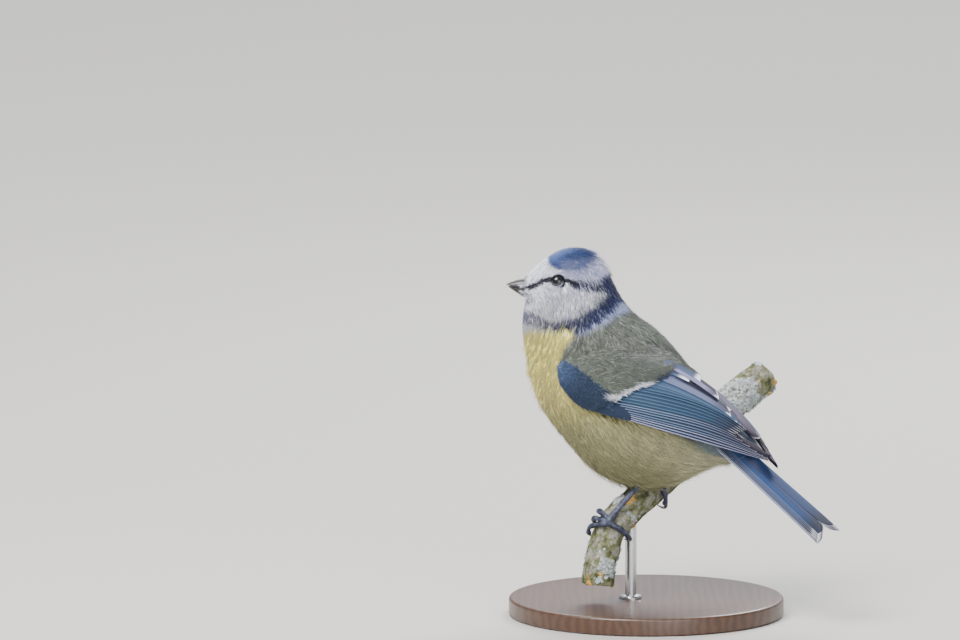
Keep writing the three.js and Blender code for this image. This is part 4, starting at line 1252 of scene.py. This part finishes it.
class TIT_OT_coat(bpy.types.Operator):
    """Small feathers of head, body, shoulders and back, barb by barb"""

    bl_idname = "tit.coat"
    bl_label = "Coat"

    def execute(self, context):
        look = Look(context.scene)
        density = context.scene.tit_plumage.density
        rng = np.random.default_rng(COAT_SEED)

        def on_body(count, low, high, spec, turns=(-1.0, 4.0)):
            """Feathers between two stations, and between two angles from the middle of the back."""
            def within(a, b):
                return ((a >= low) & (a < high) & (np.abs(b) > turns[0]) & (np.abs(b) < turns[1])) * 1.0

            s, angle = body.roots(int(count * density), within, rng)
            keep = clear_of_eyes(s, angle) & ~hidden_by_wing(s, angle)
            spec = {"depth": lambda a, b: skin_depth(a), **spec}
            return plume(body, s[keep], angle[keep], look, body_colour, spec, BODY_ZONE, rng)

        head_look = {"length": varied([0, 1, 3, 5, 7, 9], [1.1, 1.7, 3.2, 4.0, 4.4, 4.8]), "fan": 0.2,
                     "grain": 0.2, "tone": 0.14, "heading": down_the_cheek}
        head = [on_body(8200, 0.05, 5.2, {"barbs": 4, "width": 0.25, "tuft": 0.14, **head_look}),
                on_body(4400, 5.2, 9.2, {"barbs": 5, "width": 0.29, "tuft": 0.22, **head_look})]

        def round_bill(a, b):
            return ((a > -0.05) & (a < 1.1) & (np.abs(b) < 2.6)) * 1.0

        s, angle = face.roots(int(650 * density), round_bill, rng)
        head.append(plume(face, s, angle, look, lambda a, b, *rest: body_colour(a.clip(0), b, *rest), {
            "barbs": 4, "length": lambda a, b: 1.5 + 0.7 * a.clip(0, 1), "width": 0.17, "fan": 0.2,
            "tuft": 0.12, "heading": even(math.pi), "depth": even(0.45), "base": even(-0.1)}, BODY_ZONE, rng))
        for count, low, high, turns, rise, length in LOOSE_TUFTS:
            head.append(on_body(count, low, high, {
                "barbs": 4, "length": even(length), "width": 0.14, "fan": 0.16, "tuft": 0.12,
                "depth": even(rise), "base": lambda a, b: -skin_depth(a), "stray": 0.14}, turns))
        torso = [on_body(7400, 9.2, 18.8, {
            "barbs": 7, "length": varied([8, 11, 14, 19], [4.4, 5.4, 6.4, 7.0]), "width": 0.25, "fan": 0.2,
            "tuft": 0.4, "grain": 0.2, "tone": 0.13})]
        plumage = plumage_finish("plumage")
        coat_pieces("coat_head", head, plumage)
        coat_pieces("coat_body", torso, plumage)

        def scapulars(a, b):
            return ((b < scapular_edge(a + 0.055)) & (a < 0.46) & (b > -0.25)) * 1.0

        def lesser_coverts(a, b):
            return ((b >= scapular_edge(a + 0.055) - 0.05) & (a < bar_place(b) - 0.028) & (b < 0.96)) * 1.0

        def scapular_base(a, b):
            return np.interp(a, [0, 0.2, 0.4], [0.15, 0.4, 0.7]) - 2.2 * step(0.2, -0.25, b)

        shoulder = []
        for k, side in enumerate((1, -1)):
            for count, within, spec in (
                (1500, scapulars, {
                    "length": varied([0, 0.1, 0.5], [4.0, 4.8, 5.2]), "width": 0.27, "fan": 0.2, "tuft": 0.4,
                    "depth": even(0.9), "base": scapular_base}),
                (1550, lesser_coverts, {
                    "length": varied([0, 0.2, 0.4], [2.4, 2.9, 2.7]), "width": 0.24, "fan": 0.25, "tuft": 0.3,
                    "depth": even(0.7), "base": varied([0, 0.2, 0.4], [0.2, 0.45, 0.6])}),
            ):
                a, b = wings[side].roots(int(count * density), within, rng)
                shoulder.append(plume(wings[side], a, b, look, wing_colour, {"barbs": 6, **spec},
                                      ((0.6 + 0.2 * k, 0.02), (0.17, 0.5)), rng))
        coat_pieces("coat_shoulders", shoulder, plumage)
        return {"FINISHED"}


class TIT_OT_wings(bpy.types.Operator):
    """Flight feathers, tertials and larger coverts of both folded wings"""

    bl_idname = "tit.wings"
    bl_label = "Wings"

    def execute(self, context):
        look = Look(context.scene)
        finish = vane_finish("wing_vane")
        for side, name in ((1, "wing_left"), (-1, "wing_right")):
            vanes(name + "_feathers", wing_feathers(side, look), finish, "wing_feathers", name)
        return {"FINISHED"}


class TIT_OT_tail(bpy.types.Operator):
    """Twelve tail feathers"""

    bl_idname = "tit.tail"
    bl_label = "Tail"

    def execute(self, context):
        look = Look(context.scene)
        feathers = [tail_feather(pair, side, look) for pair in range(5, -1, -1) for side in (-1, 1)]
        vanes("tail_feathers", feathers, vane_finish("tail_vane"), "tail_feathers", "tail")
        return {"FINISHED"}


def lid_fold(eye, reach, thick, height, arc):
    """One fold of the lids: all round the eye, or below it between two angles where arc is given."""
    centre, look, up, back = eye
    turns = round_angles(64) if arc is None else np.linspace(arc[0], arc[1], 40)
    reach = reach * (1 + 0.1 * np.cos(turns * 2 + 0.5 * math.pi))
    middle = centre + look * (EYE["radius"] * 0.62 + height * 0.45)
    path = middle + up * (np.cos(turns) * reach)[:, None] * 0.9 + back * (np.sin(turns) * reach)[:, None]
    if arc is None:
        taper = np.ones(len(turns))
        tint = mix(LID_DARK, mix(LID_DARK, LID_PALE, 0.12), step(0.1, -0.6, np.cos(turns))[:, None])
    else:
        taper = np.sin(np.linspace(0.05, math.pi - 0.05, len(turns))) ** 0.5
        tint = np.tile(LID_PALE, (len(turns), 1))
    sides = 10
    around = round_angles(sides)[None, :, None]
    ring = path[:, None] + (thick * taper)[:, None, None] * (
        unit(path - middle)[:, None] * np.cos(around) + look * np.sin(around))
    if arc is None:
        faces = tube_faces(len(ring) + 1, sides, cap=False) % (len(ring) * sides)
    else:
        faces = tube_faces(len(ring), sides)
    return (ring, faces), np.repeat(tint, sides, 0)


class TIT_OT_eyes(bpy.types.Operator):
    """Glossy eyes with a ring of lids"""

    bl_idname = "tit.eyes"
    bl_label = "Eyes"

    def execute(self, context):
        gloss = Finish("eye_gloss", Roughness=0.14, Specular_IOR_Level=0.4)
        gloss.feed("Base Color", gloss.blend(
            gloss.noise(1400, 1400, 1400), (0.004, 0.004, 0.005), (0.012, 0.012, 0.014)))
        lid = Finish("lid_skin", Roughness=0.75, Specular_IOR_Level=0.1)
        lid.feed("Base Color", lid.tint())
        for side, name in ((1, "eye_left"), (-1, "eye_right")):
            centre, look = eye_place(side)
            up = unit(np.array([0, 0, 1.0]) - look * look[2])
            back = np.cross(look, up) * side
            polar = np.linspace(0.02, math.pi - 0.02, 40)[:, None, None]
            turn = round_angles(48)[None, :, None]
            ball = centre + EYE["radius"] * (
                look * np.cos(polar) + (up * np.cos(turn) + back * np.sin(turn)) * np.sin(polar))
            eye = ring_mesh(name + "_ball", ball, material=gloss.material)
            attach(eye, "root")
            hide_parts(name)
            folds, tints = zip(*(lid_fold((centre, look, up, back), *fold) for fold in LID_FOLDS))
            lids = new_mesh(name + "_lids", *join_shells(folds), np.concatenate(tints), material=lid.material)
            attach(lids, "root")
        return {"FINISHED"}


class TIT_OT_bill(bpy.types.Operator):
    """Upper and lower bill, paler along the cutting edges and the tip"""

    bl_idname = "tit.bill"
    bl_label = "Bill"

    def execute(self, context):
        for name, table, lift, high, low in (
            ("bill_upper", UPPER_BILL, GAP / 2, srgb(84, 78, 84), srgb(26, 23, 28)),
            ("bill_lower", LOWER_BILL, -GAP / 2, srgb(18, 17, 20), srgb(58, 52, 54)),
        ):
            t = np.linspace(0, len(table) - 1, 44)
            x, outer, edge, half = (smooth_at(table[:, i], t)[:, None] for i in range(4))
            arc = np.linspace(0, math.pi, 25)[None]
            y = half * np.cos(arc)
            z = mix(edge + lift * 0.6, outer, np.sin(arc) ** 0.9)
            ring = to_part(twist(np.stack([x + 0 * y, y, z], -1), 1.0))
            # Painted light and shade: lit rises towards the outer edge, so the upper bill lightens towards
            # its ridge and the lower bill darkens towards its underside
            lit = np.sin(arc) ** 1.5 + 0 * y
            if name == "bill_lower":
                base = mix(np.array(high), np.array(low), (0.25 * (1 - lit))[..., None])
            else:
                streak = np.exp(-((np.sin(arc) - 0.32) / 0.16) ** 2)
                base = mix(np.array(low), np.array(high), (0.35 * lit + 0.55 * streak)[..., None])
            tip = step(3.6, 5, t)[:, None] + 0 * y
            base = mix(base, np.array(srgb(120, 106, 100)), (tip * 0.6)[..., None])
            horn = Finish(name + "_horn", Roughness=0.34, Specular_IOR_Level=0.5)
            noise = horn.noise(500, 900, 900, Detail=4.0)
            horn.feed("Base Color", horn.node(
                "ShaderNodeHueSaturation", Color=horn.tint(), Value=noise * 0.5 + 0.75))
            horn.bump(noise, 0.25)
            bill = ring_mesh(name + "_horn", ring, base, horn.material)
            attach(bill, "root")
            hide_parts(name)
        return {"FINISHED"}


def scute_tree():
    """Overlapping scute rings along a curve, by Geometry Nodes."""
    g = Growth("scutes", Curve=("Geometry", None), Count=("Int", 12), Sides=("Int", 14),
               Scale=("Float", 1.0), Finish=("Material", None))
    curve, count = g.given("Curve"), g.given("Count")
    measured = g.node("GeometryNodeStoreNamedAttribute", Geometry=curve, Name="girth",
                      Value=g.node("GeometryNodeInputRadius"))
    spots = g.node("GeometryNodeCurveToPoints", {"mode": "COUNT"}, output="Points", Curve=measured,
                   Count=count)
    ring = g.node("GeometryNodeMeshCone", {"fill_type": "NGON"}, output="Mesh", Vertices=g.given("Sides"),
                  Side_Segments=1, Radius_Top=0.94, Radius_Bottom=1.06, Depth=1.0)
    girth = g.node("GeometryNodeInputNamedAttribute", output="Attribute", Name="girth") * g.given("Scale")
    pitch = g.node("GeometryNodeCurveLength", _0=curve).math("DIVIDE", count)
    size = g.node("ShaderNodeCombineXYZ", X=girth, Y=girth, Z=pitch)
    return g.close(g.node("GeometryNodeInstanceOnPoints", Points=spots, Instance=ring,
                          Rotation=spots.other("Rotation"), Scale=size))


def use_tree(carrier, tree, name, **values):
    """Runs a Geometry Nodes tree on an object and keeps the result as a plain mesh."""
    modifier = carrier.modifiers.new(tree.name, "NODES")
    modifier.node_group = tree
    sockets = {s.name: s.identifier for s in tree.interface.items_tree if s.in_out == "INPUT"}
    for label, value in values.items():
        modifier[sockets[label]] = value
    bpy.context.view_layer.update()
    depsgraph = bpy.context.evaluated_depsgraph_get()
    mesh = bpy.data.meshes.new_from_object(carrier.evaluated_get(depsgraph))
    mesh.name = name
    obj = bpy.data.objects.new(name, mesh)
    bpy.context.scene.collection.objects.link(obj)
    carrier.modifiers.remove(modifier)
    return obj


def curve_object(name, path, radii):
    """A poly curve in metres through points in millimetres, with a radius at each."""
    data = bpy.data.curves.new(name, "CURVE")
    data.dimensions = "3D"
    spline = data.splines.new("POLY")
    spline.points.add(len(path) - 1)
    for point, place, radius in zip(spline.points, path, radii):
        point.co = (*(place * MM), 1)
        point.radius = radius * MM
    obj = bpy.data.objects.new(name, data)
    bpy.context.scene.collection.objects.link(obj)
    return obj


class TIT_OT_legs(bpy.types.Operator):
    """Shanks, toes and claws, with scutes across them"""

    bl_idname = "tit.legs"
    bl_label = "Legs"

    def execute(self, context):
        skin = Finish("leg_skin", Roughness=0.5, Specular_IOR_Level=0.4)
        noise = skin.noise(900, 900, 900, Detail=4.0)
        skin.feed("Base Color", skin.node("ShaderNodeValToRGB", {"stops": [
            (0.3, srgb(28, 31, 42)), (0.55, srgb(56, 62, 82)), (0.8, srgb(98, 104, 124))]}, Fac=noise))
        skin.bump(noise, 0.5, 0.0001)
        horn = Finish("claw_horn", Roughness=0.3, Specular_IOR_Level=0.5)
        horn.feed("Base Color", horn.blend(horn.noise(700, 700, 700), srgb(34, 30, 40), srgb(92, 84, 100)))
        tree = scute_tree()
        for side, leg in LEGS.items():
            rings, scutes = [], []

            def limb(path, radii, sides, girth, count):
                """One rounded limb and the scutes along it."""
                rings.append(tube(path, radii, sides))
                line = curve_object("limb_line", path, girth)
                scutes.append(use_tree(line, tree, "scutes", Count=count, Finish=skin.material))
                bpy.data.objects.remove(line)

            knuckle = on_bark(*(np.array(x) for x in (leg["along"], leg["joint"], 0.0, 1.0)))
            rounded_end = 0.9 + 0.1 * np.sin(np.linspace(0, math.pi / 2, 10))
            u = np.concatenate([np.linspace(0, 0.9, 24), rounded_end[1:]])
            radii = SHANK_RADIUS * 0.93
            radii = radii + 0.3 * np.clip((u - 0.75) / 0.25, 0, 1) + 0.3 * np.clip((0.15 - u) / 0.15, 0, 1)
            radii = radii * np.sqrt(np.clip(1 - ((u - 0.92).clip(0) / 0.08) ** 2, 0.02, 1))
            limb(mix(np.array(leg["ankle"]), knuckle, u[:, None]), radii, 16, radii + 0.02, 13)
            for name, toe in TOES.items():
                u, path, thick = toe_path(leg, toe, 34)
                padded = thick * (1 + 0.16 * np.cos(u * 4 * math.pi) - 0.05)
                limb(path, padded * 0.97, 14, padded, 16)
                claw = ring_mesh("claw_" + side + "_" + name + "_horn", claw_rings(leg, toe),
                                 material=horn.material)
                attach(claw, "root")
                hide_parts("claw_" + side + "_" + name)
            shells = [(ring, tube_faces(*ring.shape[:2])) for ring in rings]
            foot = new_mesh("leg_" + side + "_skin", *join_shells(shells), material=skin.material)
            with context.temp_override(active_object=foot, selected_editable_objects=[foot] + scutes):
                bpy.ops.object.join()
            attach(foot, "root")
            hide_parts("leg_" + side)
        return {"FINISHED"}


def value_noise(p, scale, seed):
    """Smooth noise from 0 to 1 at points, repeatable."""
    q = np.asarray(p) / scale
    i = np.floor(q).astype(np.int64)
    f = q - i
    f = f * f * (3 - 2 * f)
    total = 0
    for corner in range(8):
        d = np.array([corner & 1, corner >> 1 & 1, corner >> 2 & 1])
        h = (i + d) @ np.array(HASH_STEPS) + seed * HASH_FACTOR
        h = (h ^ (h >> 13)) * HASH_FACTOR
        value = ((h ^ (h >> 16)) & 0xFFFFFF) / 0xFFFFFF
        total = total + value * np.prod(np.where(d, f, 1 - f), -1)
    return total


def lichen_tree():
    """Small lobes scattered over a surface where it is marked, by Geometry Nodes."""
    g = Growth("lichen", Bark=("Geometry", None), Lobe=("Object", None), Mark=("String", "lichen"),
               Density=("Float", 1.0), Size=("Float", 1.0), Seed=("Int", 1), Finish=("Material", None))
    seed = g.given("Seed")
    mark = g.node("GeometryNodeInputNamedAttribute", output="Attribute", Name=g.given("Mark"))
    spots = g.node("GeometryNodeDistributePointsOnFaces", output="Points", Mesh=g.given("Bark"),
                   Density=mark * g.given("Density"), Seed=seed)
    lobe = g.node("GeometryNodeObjectInfo", output="Geometry", Object=g.given("Lobe"))
    turn = g.node("FunctionNodeRandomValue", {"data_type": "FLOAT_VECTOR"}, output="Value",
                  Min=(-0.5, -0.5, 0), Max=(0.5, 0.5, 6.28), Seed=seed)
    turned = g.node("FunctionNodeRotateRotation", {"rotation_space": "LOCAL"}, _0=spots.other("Rotation"),
                    _1=turn)
    size = g.node("FunctionNodeRandomValue", output=1, _2=0.55, _3=1.35, Seed=seed) * g.given("Size")
    return g.close(g.node("GeometryNodeInstanceOnPoints", Points=spots, Instance=lobe, Rotation=turned,
                          Scale=size))


def lobe_object():
    """One lichen lobe about a unit wide: a wavy disc with a raised edge."""
    turn = round_angles(9)
    edge = 1 + 0.22 * np.cos(turn * 5) + 0.1 * np.cos(turn * 3 + 1)
    top = [np.stack([r * edge * np.cos(turn), r * edge * np.sin(turn), z + 0.06 * np.sin(turn * 4) * r], -1)
           for r, z in ((0.55, 0.05), (1.0, 0.32))]
    low = [p - np.array([0, 0, 0.12]) for p in top]
    lobe = ring_mesh("lobe", np.stack(low + top[::-1]) * 0.5 / MM)
    lobe.hide_render = True
    return lobe


class TIT_OT_perch(bpy.types.Operator):
    """The cut length of branch with bark and lichen"""

    bl_idname = "tit.perch"
    bl_label = "Perch"

    def execute(self, context):
        settings = context.scene.tit_perch
        rows, sides = 420, 110
        t = np.linspace(0, len(PERCH_AXIS) - 1, rows)
        point, _, over, top, radius = perch_frame(t)
        angle = round_angles(sides)
        out = over[:, None] * np.cos(angle)[None, :, None] + top[:, None] * np.sin(angle)[None, :, None]
        length = np.concatenate([[0], np.cumsum(np.linalg.norm(np.diff(point, axis=0), axis=1))])
        length, turn = np.meshgrid(length, angle, indexing="ij")
        flat = np.stack([length, np.cos(turn) * 4.4, np.sin(turn) * 4.4], -1)

        def grain(stretch, scale, seed):
            return value_noise(flat * np.array([stretch, 1, 1]), scale, seed)

        # Relief of the bark, its cracks, and where grey and orange lichen grow
        height = 0.34 * (grain(1, 3.2, 2) - 0.5) + 0.26 * (grain(0.35, 1.1, 1) - 0.5)
        height = height + 0.16 * (grain(0.6, 0.42, 3) - 0.5)
        height = height - 0.3 * step(0.07, 0.0, np.abs(grain(0.3, 0.9, 5) - 0.5))
        lichen = step(0.55, 0.66, grain(1, 4.6, 8) * 0.7 + grain(1, 1.6, 9) * 0.3)
        orange = step(0.73, 0.77, grain(1, 2.6, 14) * 0.8 + 0.2 * grain(1, 0.9, 15))
        height = height + 0.12 * lichen
        gripped = np.zeros((rows, 1))
        for leg in LEGS.values():
            gripped = np.maximum(gripped, step(5.5, 3.5, np.abs(t - leg["along"]) * 4.5)[:, None])
        masks = {"lichen": lichen * (1 - gripped), "orange": orange * (1 - gripped)}
        rings = point[:, None] + out * radius[:, None, None]
        rings = rings + out * np.clip(height, -0.4, 0.35)[..., None] * 0.9
        from_cut = np.minimum(t - t[0], t[-1] - t)[:, None]
        rings = mix(point[:, None], rings, (0.94 + 0.06 * step(0, 0.08, from_cut))[..., None])
        # Painted shade: the bark is darker where its relief is lower, darkest in the cracks, partly the
        # cracks' own colour
        tint = mix(np.array(settings.bark_low), np.array(settings.bark_high),
                   np.clip(0.55 + height * 1.3, 0, 1)[..., None])
        tint = mix(tint, np.array(settings.lichen), (masks["lichen"] * 0.6)[..., None])
        tint = mix(tint, np.array(settings.orange), (masks["orange"] * 0.5)[..., None])

        bark = Finish("bark", Roughness=0.92, Specular_IOR_Level=0.15)
        flecks = bark.noise(420, 420, 300, Detail=8.0, Roughness=0.72)
        crust = bark.node("ShaderNodeValToRGB", {"stops": [
            (0.38, srgb(50, 48, 36)), (0.45, srgb(104, 108, 70)), (0.51, srgb(130, 132, 106)),
            (0.57, srgb(176, 168, 174)), (0.65, srgb(148, 156, 92))]}, Fac=flecks)
        noise = bark.noise(700, 700, 420, Detail=6.0, Roughness=0.65)
        bark.feed("Base Color", bark.node(
            "ShaderNodeHueSaturation", Color=bark.blend(0.55, bark.tint(), crust), Value=noise * 1.3 + 0.35))
        bark.bump(noise + flecks * 1.5, 1.0, 0.0006)
        perch = ring_mesh("perch_bark", rings, tint, bark.material)
        for name, mask in masks.items():
            layer = perch.data.attributes.new(name, "FLOAT", "POINT")
            layer.data.foreach_set("value", mask.astype(np.float32).ravel())

        tree = lichen_tree()
        lobe = lobe_object()
        for name, colours, density, seed in (
            ("lichen", (srgb(128, 138, 140), srgb(206, 212, 212)), 4.2e6, settings.lichen_seed),
            ("orange", (srgb(176, 118, 36), srgb(232, 186, 92)), 1.6e6, settings.lichen_seed + 1),
        ):
            finish = Finish("lichen_" + name, Roughness=0.9, Specular_IOR_Level=0.2)
            noise = finish.noise(900, 900, 900, Detail=4.0)
            finish.feed("Base Color", finish.blend(noise.math("SMOOTH_MAX", 0.0, 0.1), *colours))
            finish.bump(noise, 0.5)
            tufts = use_tree(perch, tree, "perch_" + name, Lobe=lobe, Mark=name, Density=density,
                             Size=settings.lichen_scale, Seed=seed, Finish=finish.material)
            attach(tufts, "root")
        bpy.data.objects.remove(lobe)
        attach(perch, "root")
        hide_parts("perch")
        return {"FINISHED"}


def turned(profile, sides, x=0.0, y=0.0):
    """Rings of a shape turned about an upright axis at x and y, from its radii and heights."""
    turn = round_angles(sides)
    return np.stack([np.stack([x + r * np.cos(turn), y + r * np.sin(turn), z + 0 * turn], -1)
                     for r, z in profile])


class TIT_OT_stand(bpy.types.Operator):
    """Stained wooden base and steel rod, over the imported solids"""

    bl_idname = "tit.stand"
    bl_label = "Stand"

    def execute(self, context):
        settings = context.scene.tit_stand
        wood = Finish("base_wood", Roughness=0.42, Specular_IOR_Level=0.5, Coat_Weight=0.35,
                      Coat_Roughness=0.25)
        wave = wood.node("ShaderNodeTexWave", {"wave_type": "BANDS", "bands_direction": "X"},
                         Vector=wood.place(60, 9, 60), Scale=2.2, Distortion=6.0, Detail=3.0,
                         Detail_Scale=1.4)
        noise = wood.noise(900, 60, 900, Detail=5.0)
        dark = tuple(c * 0.45 for c in settings.wood)
        wood.feed("Base Color", wood.blend(wave * 0.6 + noise * 0.4, dark, tuple(settings.wood)))
        wood.bump(noise, 0.12)
        radius, thick, edge = 38.0, 5.0, 0.8
        profile = [(radius - 0.5, 0.0), (radius, 0.5)]
        profile += [(radius - edge + edge * math.cos(x), thick - edge + edge * math.sin(x))
                    for x in np.linspace(0, math.pi / 2, 7)]
        profile += [(r, thick) for r in (30, 20, 10, 0.5)]
        base = ring_mesh("base_wood", turned(profile, 160), material=wood.material)
        base.data.set_sharp_from_angle(angle=SHARP)
        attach(base, "root")
        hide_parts("stand_base")

        steel = Finish("rod_steel", Roughness=settings.rod_roughness, Metallic=1.0,
                       Base_Color=(0.55, 0.55, 0.57, 1))
        low, high = (np.array(c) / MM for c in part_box("stand_rod"))
        x, y, _ = (low + high) / 2
        flange = [(3.2, 5.02), (3.2, 5.5), (3.2, 5.5), (2.9, 5.9), (1.6, 6.2)]
        shank = [(1.6, z) for z in np.linspace(6.3, high[2] + 0.2, 8)]
        rod = ring_mesh("rod_steel", turned(flange + shank, 40, x, y), material=steel.material)
        rod.data.set_sharp_from_angle(angle=SHARP)
        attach(rod, "root")
        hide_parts("stand_rod")
        return {"FINISHED"}


class TIT_OT_stage(bpy.types.Operator):
    """Pale floor, soft studio lights and the camera"""

    bl_idname = "tit.stage"
    bl_label = "Stage"

    def execute(self, context):
        settings = context.scene.tit_stage
        scene = context.scene
        reach = 6000
        grid = np.array([[x, y, 0.0] for y in (-reach, 0, reach) for x in (-reach, 0, reach)])
        paper = Finish("pale_floor", Roughness=0.9, Base_Color=(*settings.floor, 1))
        floor = new_mesh("floor", grid, [[a, a + 1, a + 4, a + 3] for a in (0, 1, 3, 4)],
                         material=paper.material)

        scene.world = bpy.data.worlds.new("studio")
        scene.world.use_nodes = True
        colour, strength = scene.world.node_tree.nodes["Background"].inputs[:2]
        colour.default_value = (0.86, 0.9, 1.0, 1)
        strength.default_value = 0.5

        for name, place, aim, size, share, tint in (
            ("key", (-0.35, -0.45, 0.75), (0, 0, 0.06), 0.5, 1.0, (1.0, 0.98, 0.95)),
            ("fill", (0.3, -0.95, 0.3), (0, 0, 0.06), 0.8, 0.45, (0.94, 0.96, 1.0)),
            ("rim", (0.3, 0.6, 0.6), (0, 0, 0.07), 0.4, 0.35, (1, 1, 1)),
            ("back", (0.1, 1.4, 1.6), (0, 0.9, 0), 1.7, 3.2, (1, 1, 1)),
        ):
            light = bpy.data.lights.new(name, "AREA")
            light.shape = "DISK"
            light.size, light.energy, light.color = size, settings.key * share, tint
            lamp = bpy.data.objects.new(name, light)
            scene.collection.objects.link(lamp)
            lamp.location = place
            lamp.rotation_euler = (Vector(aim) - Vector(place)).to_track_quat("-Z", "Y").to_euler()

        camera = bpy.data.cameras.new("camera")
        camera.sensor_width = SENSOR
        camera.lens = SENSOR * CAMERA_AWAY / (VIEW_SIZE[0] / UNITS)
        camera.clip_start, camera.clip_end = 0.5, 20
        obj = bpy.data.objects.new("camera", camera)
        scene.collection.objects.link(obj)
        ahead = np.array([0, math.cos(TILT), -math.sin(TILT)])
        across, down = ((size / 2 - spot) / UNITS for size, spot in zip(VIEW_SIZE, VIEW_SPOT))
        centre = np.array([VIEW_AT[0] + across, VIEW_AT[1], VIEW_AT[2] - down / math.cos(TILT)])
        obj.location = (centre - ahead * CAMERA_AWAY) * MM
        obj.rotation_euler = (math.pi / 2 - TILT, 0, 0)
        scene.camera = obj
        return {"FINISHED"}


class TIT_PT_panel(bpy.types.Panel):
    """The bird's settings and pieces"""

    bl_idname = "TIT_PT_panel"
    bl_label = "Perched blue tit"
    bl_space_type = "VIEW_3D"
    bl_region_type = "UI"
    bl_category = "Blue tit"

    def draw(self, context):
        layout = self.layout
        for group in (context.scene.tit_plumage, context.scene.tit_wings, context.scene.tit_perch,
                      context.scene.tit_stand, context.scene.tit_stage):
            box = layout.box()
            for key in group.bl_rna.properties.keys():
                if key not in ("name", "rna_type"):
                    box.prop(group, key)
        for piece in PIECES:
            layout.operator(piece.bl_idname)


SETTINGS = {"tit_plumage": PlumageSettings, "tit_wings": WingSettings, "tit_perch": PerchSettings,
            "tit_stand": StandSettings, "tit_stage": StageSettings}
PIECES = (TIT_OT_skin, TIT_OT_coat, TIT_OT_wings, TIT_OT_tail, TIT_OT_eyes, TIT_OT_bill, TIT_OT_legs,
          TIT_OT_perch, TIT_OT_stand, TIT_OT_stage)


def register():
    for item in (*SETTINGS.values(), *PIECES, TIT_PT_panel):
        bpy.utils.register_class(item)
    for key, group in SETTINGS.items():
        setattr(bpy.types.Scene, key, bpy.props.PointerProperty(type=group))


def unregister():
    for key in SETTINGS:
        delattr(bpy.types.Scene, key)
    for item in reversed((*SETTINGS.values(), *PIECES, TIT_PT_panel)):
        bpy.utils.unregister_class(item)


def main():
    register()
    for name in ("skin", "coat", "wings", "tail", "eyes", "bill", "legs", "perch", "stand", "stage"):
        getattr(bpy.ops.tit, name)()


if __name__ == "__main__":
    main()
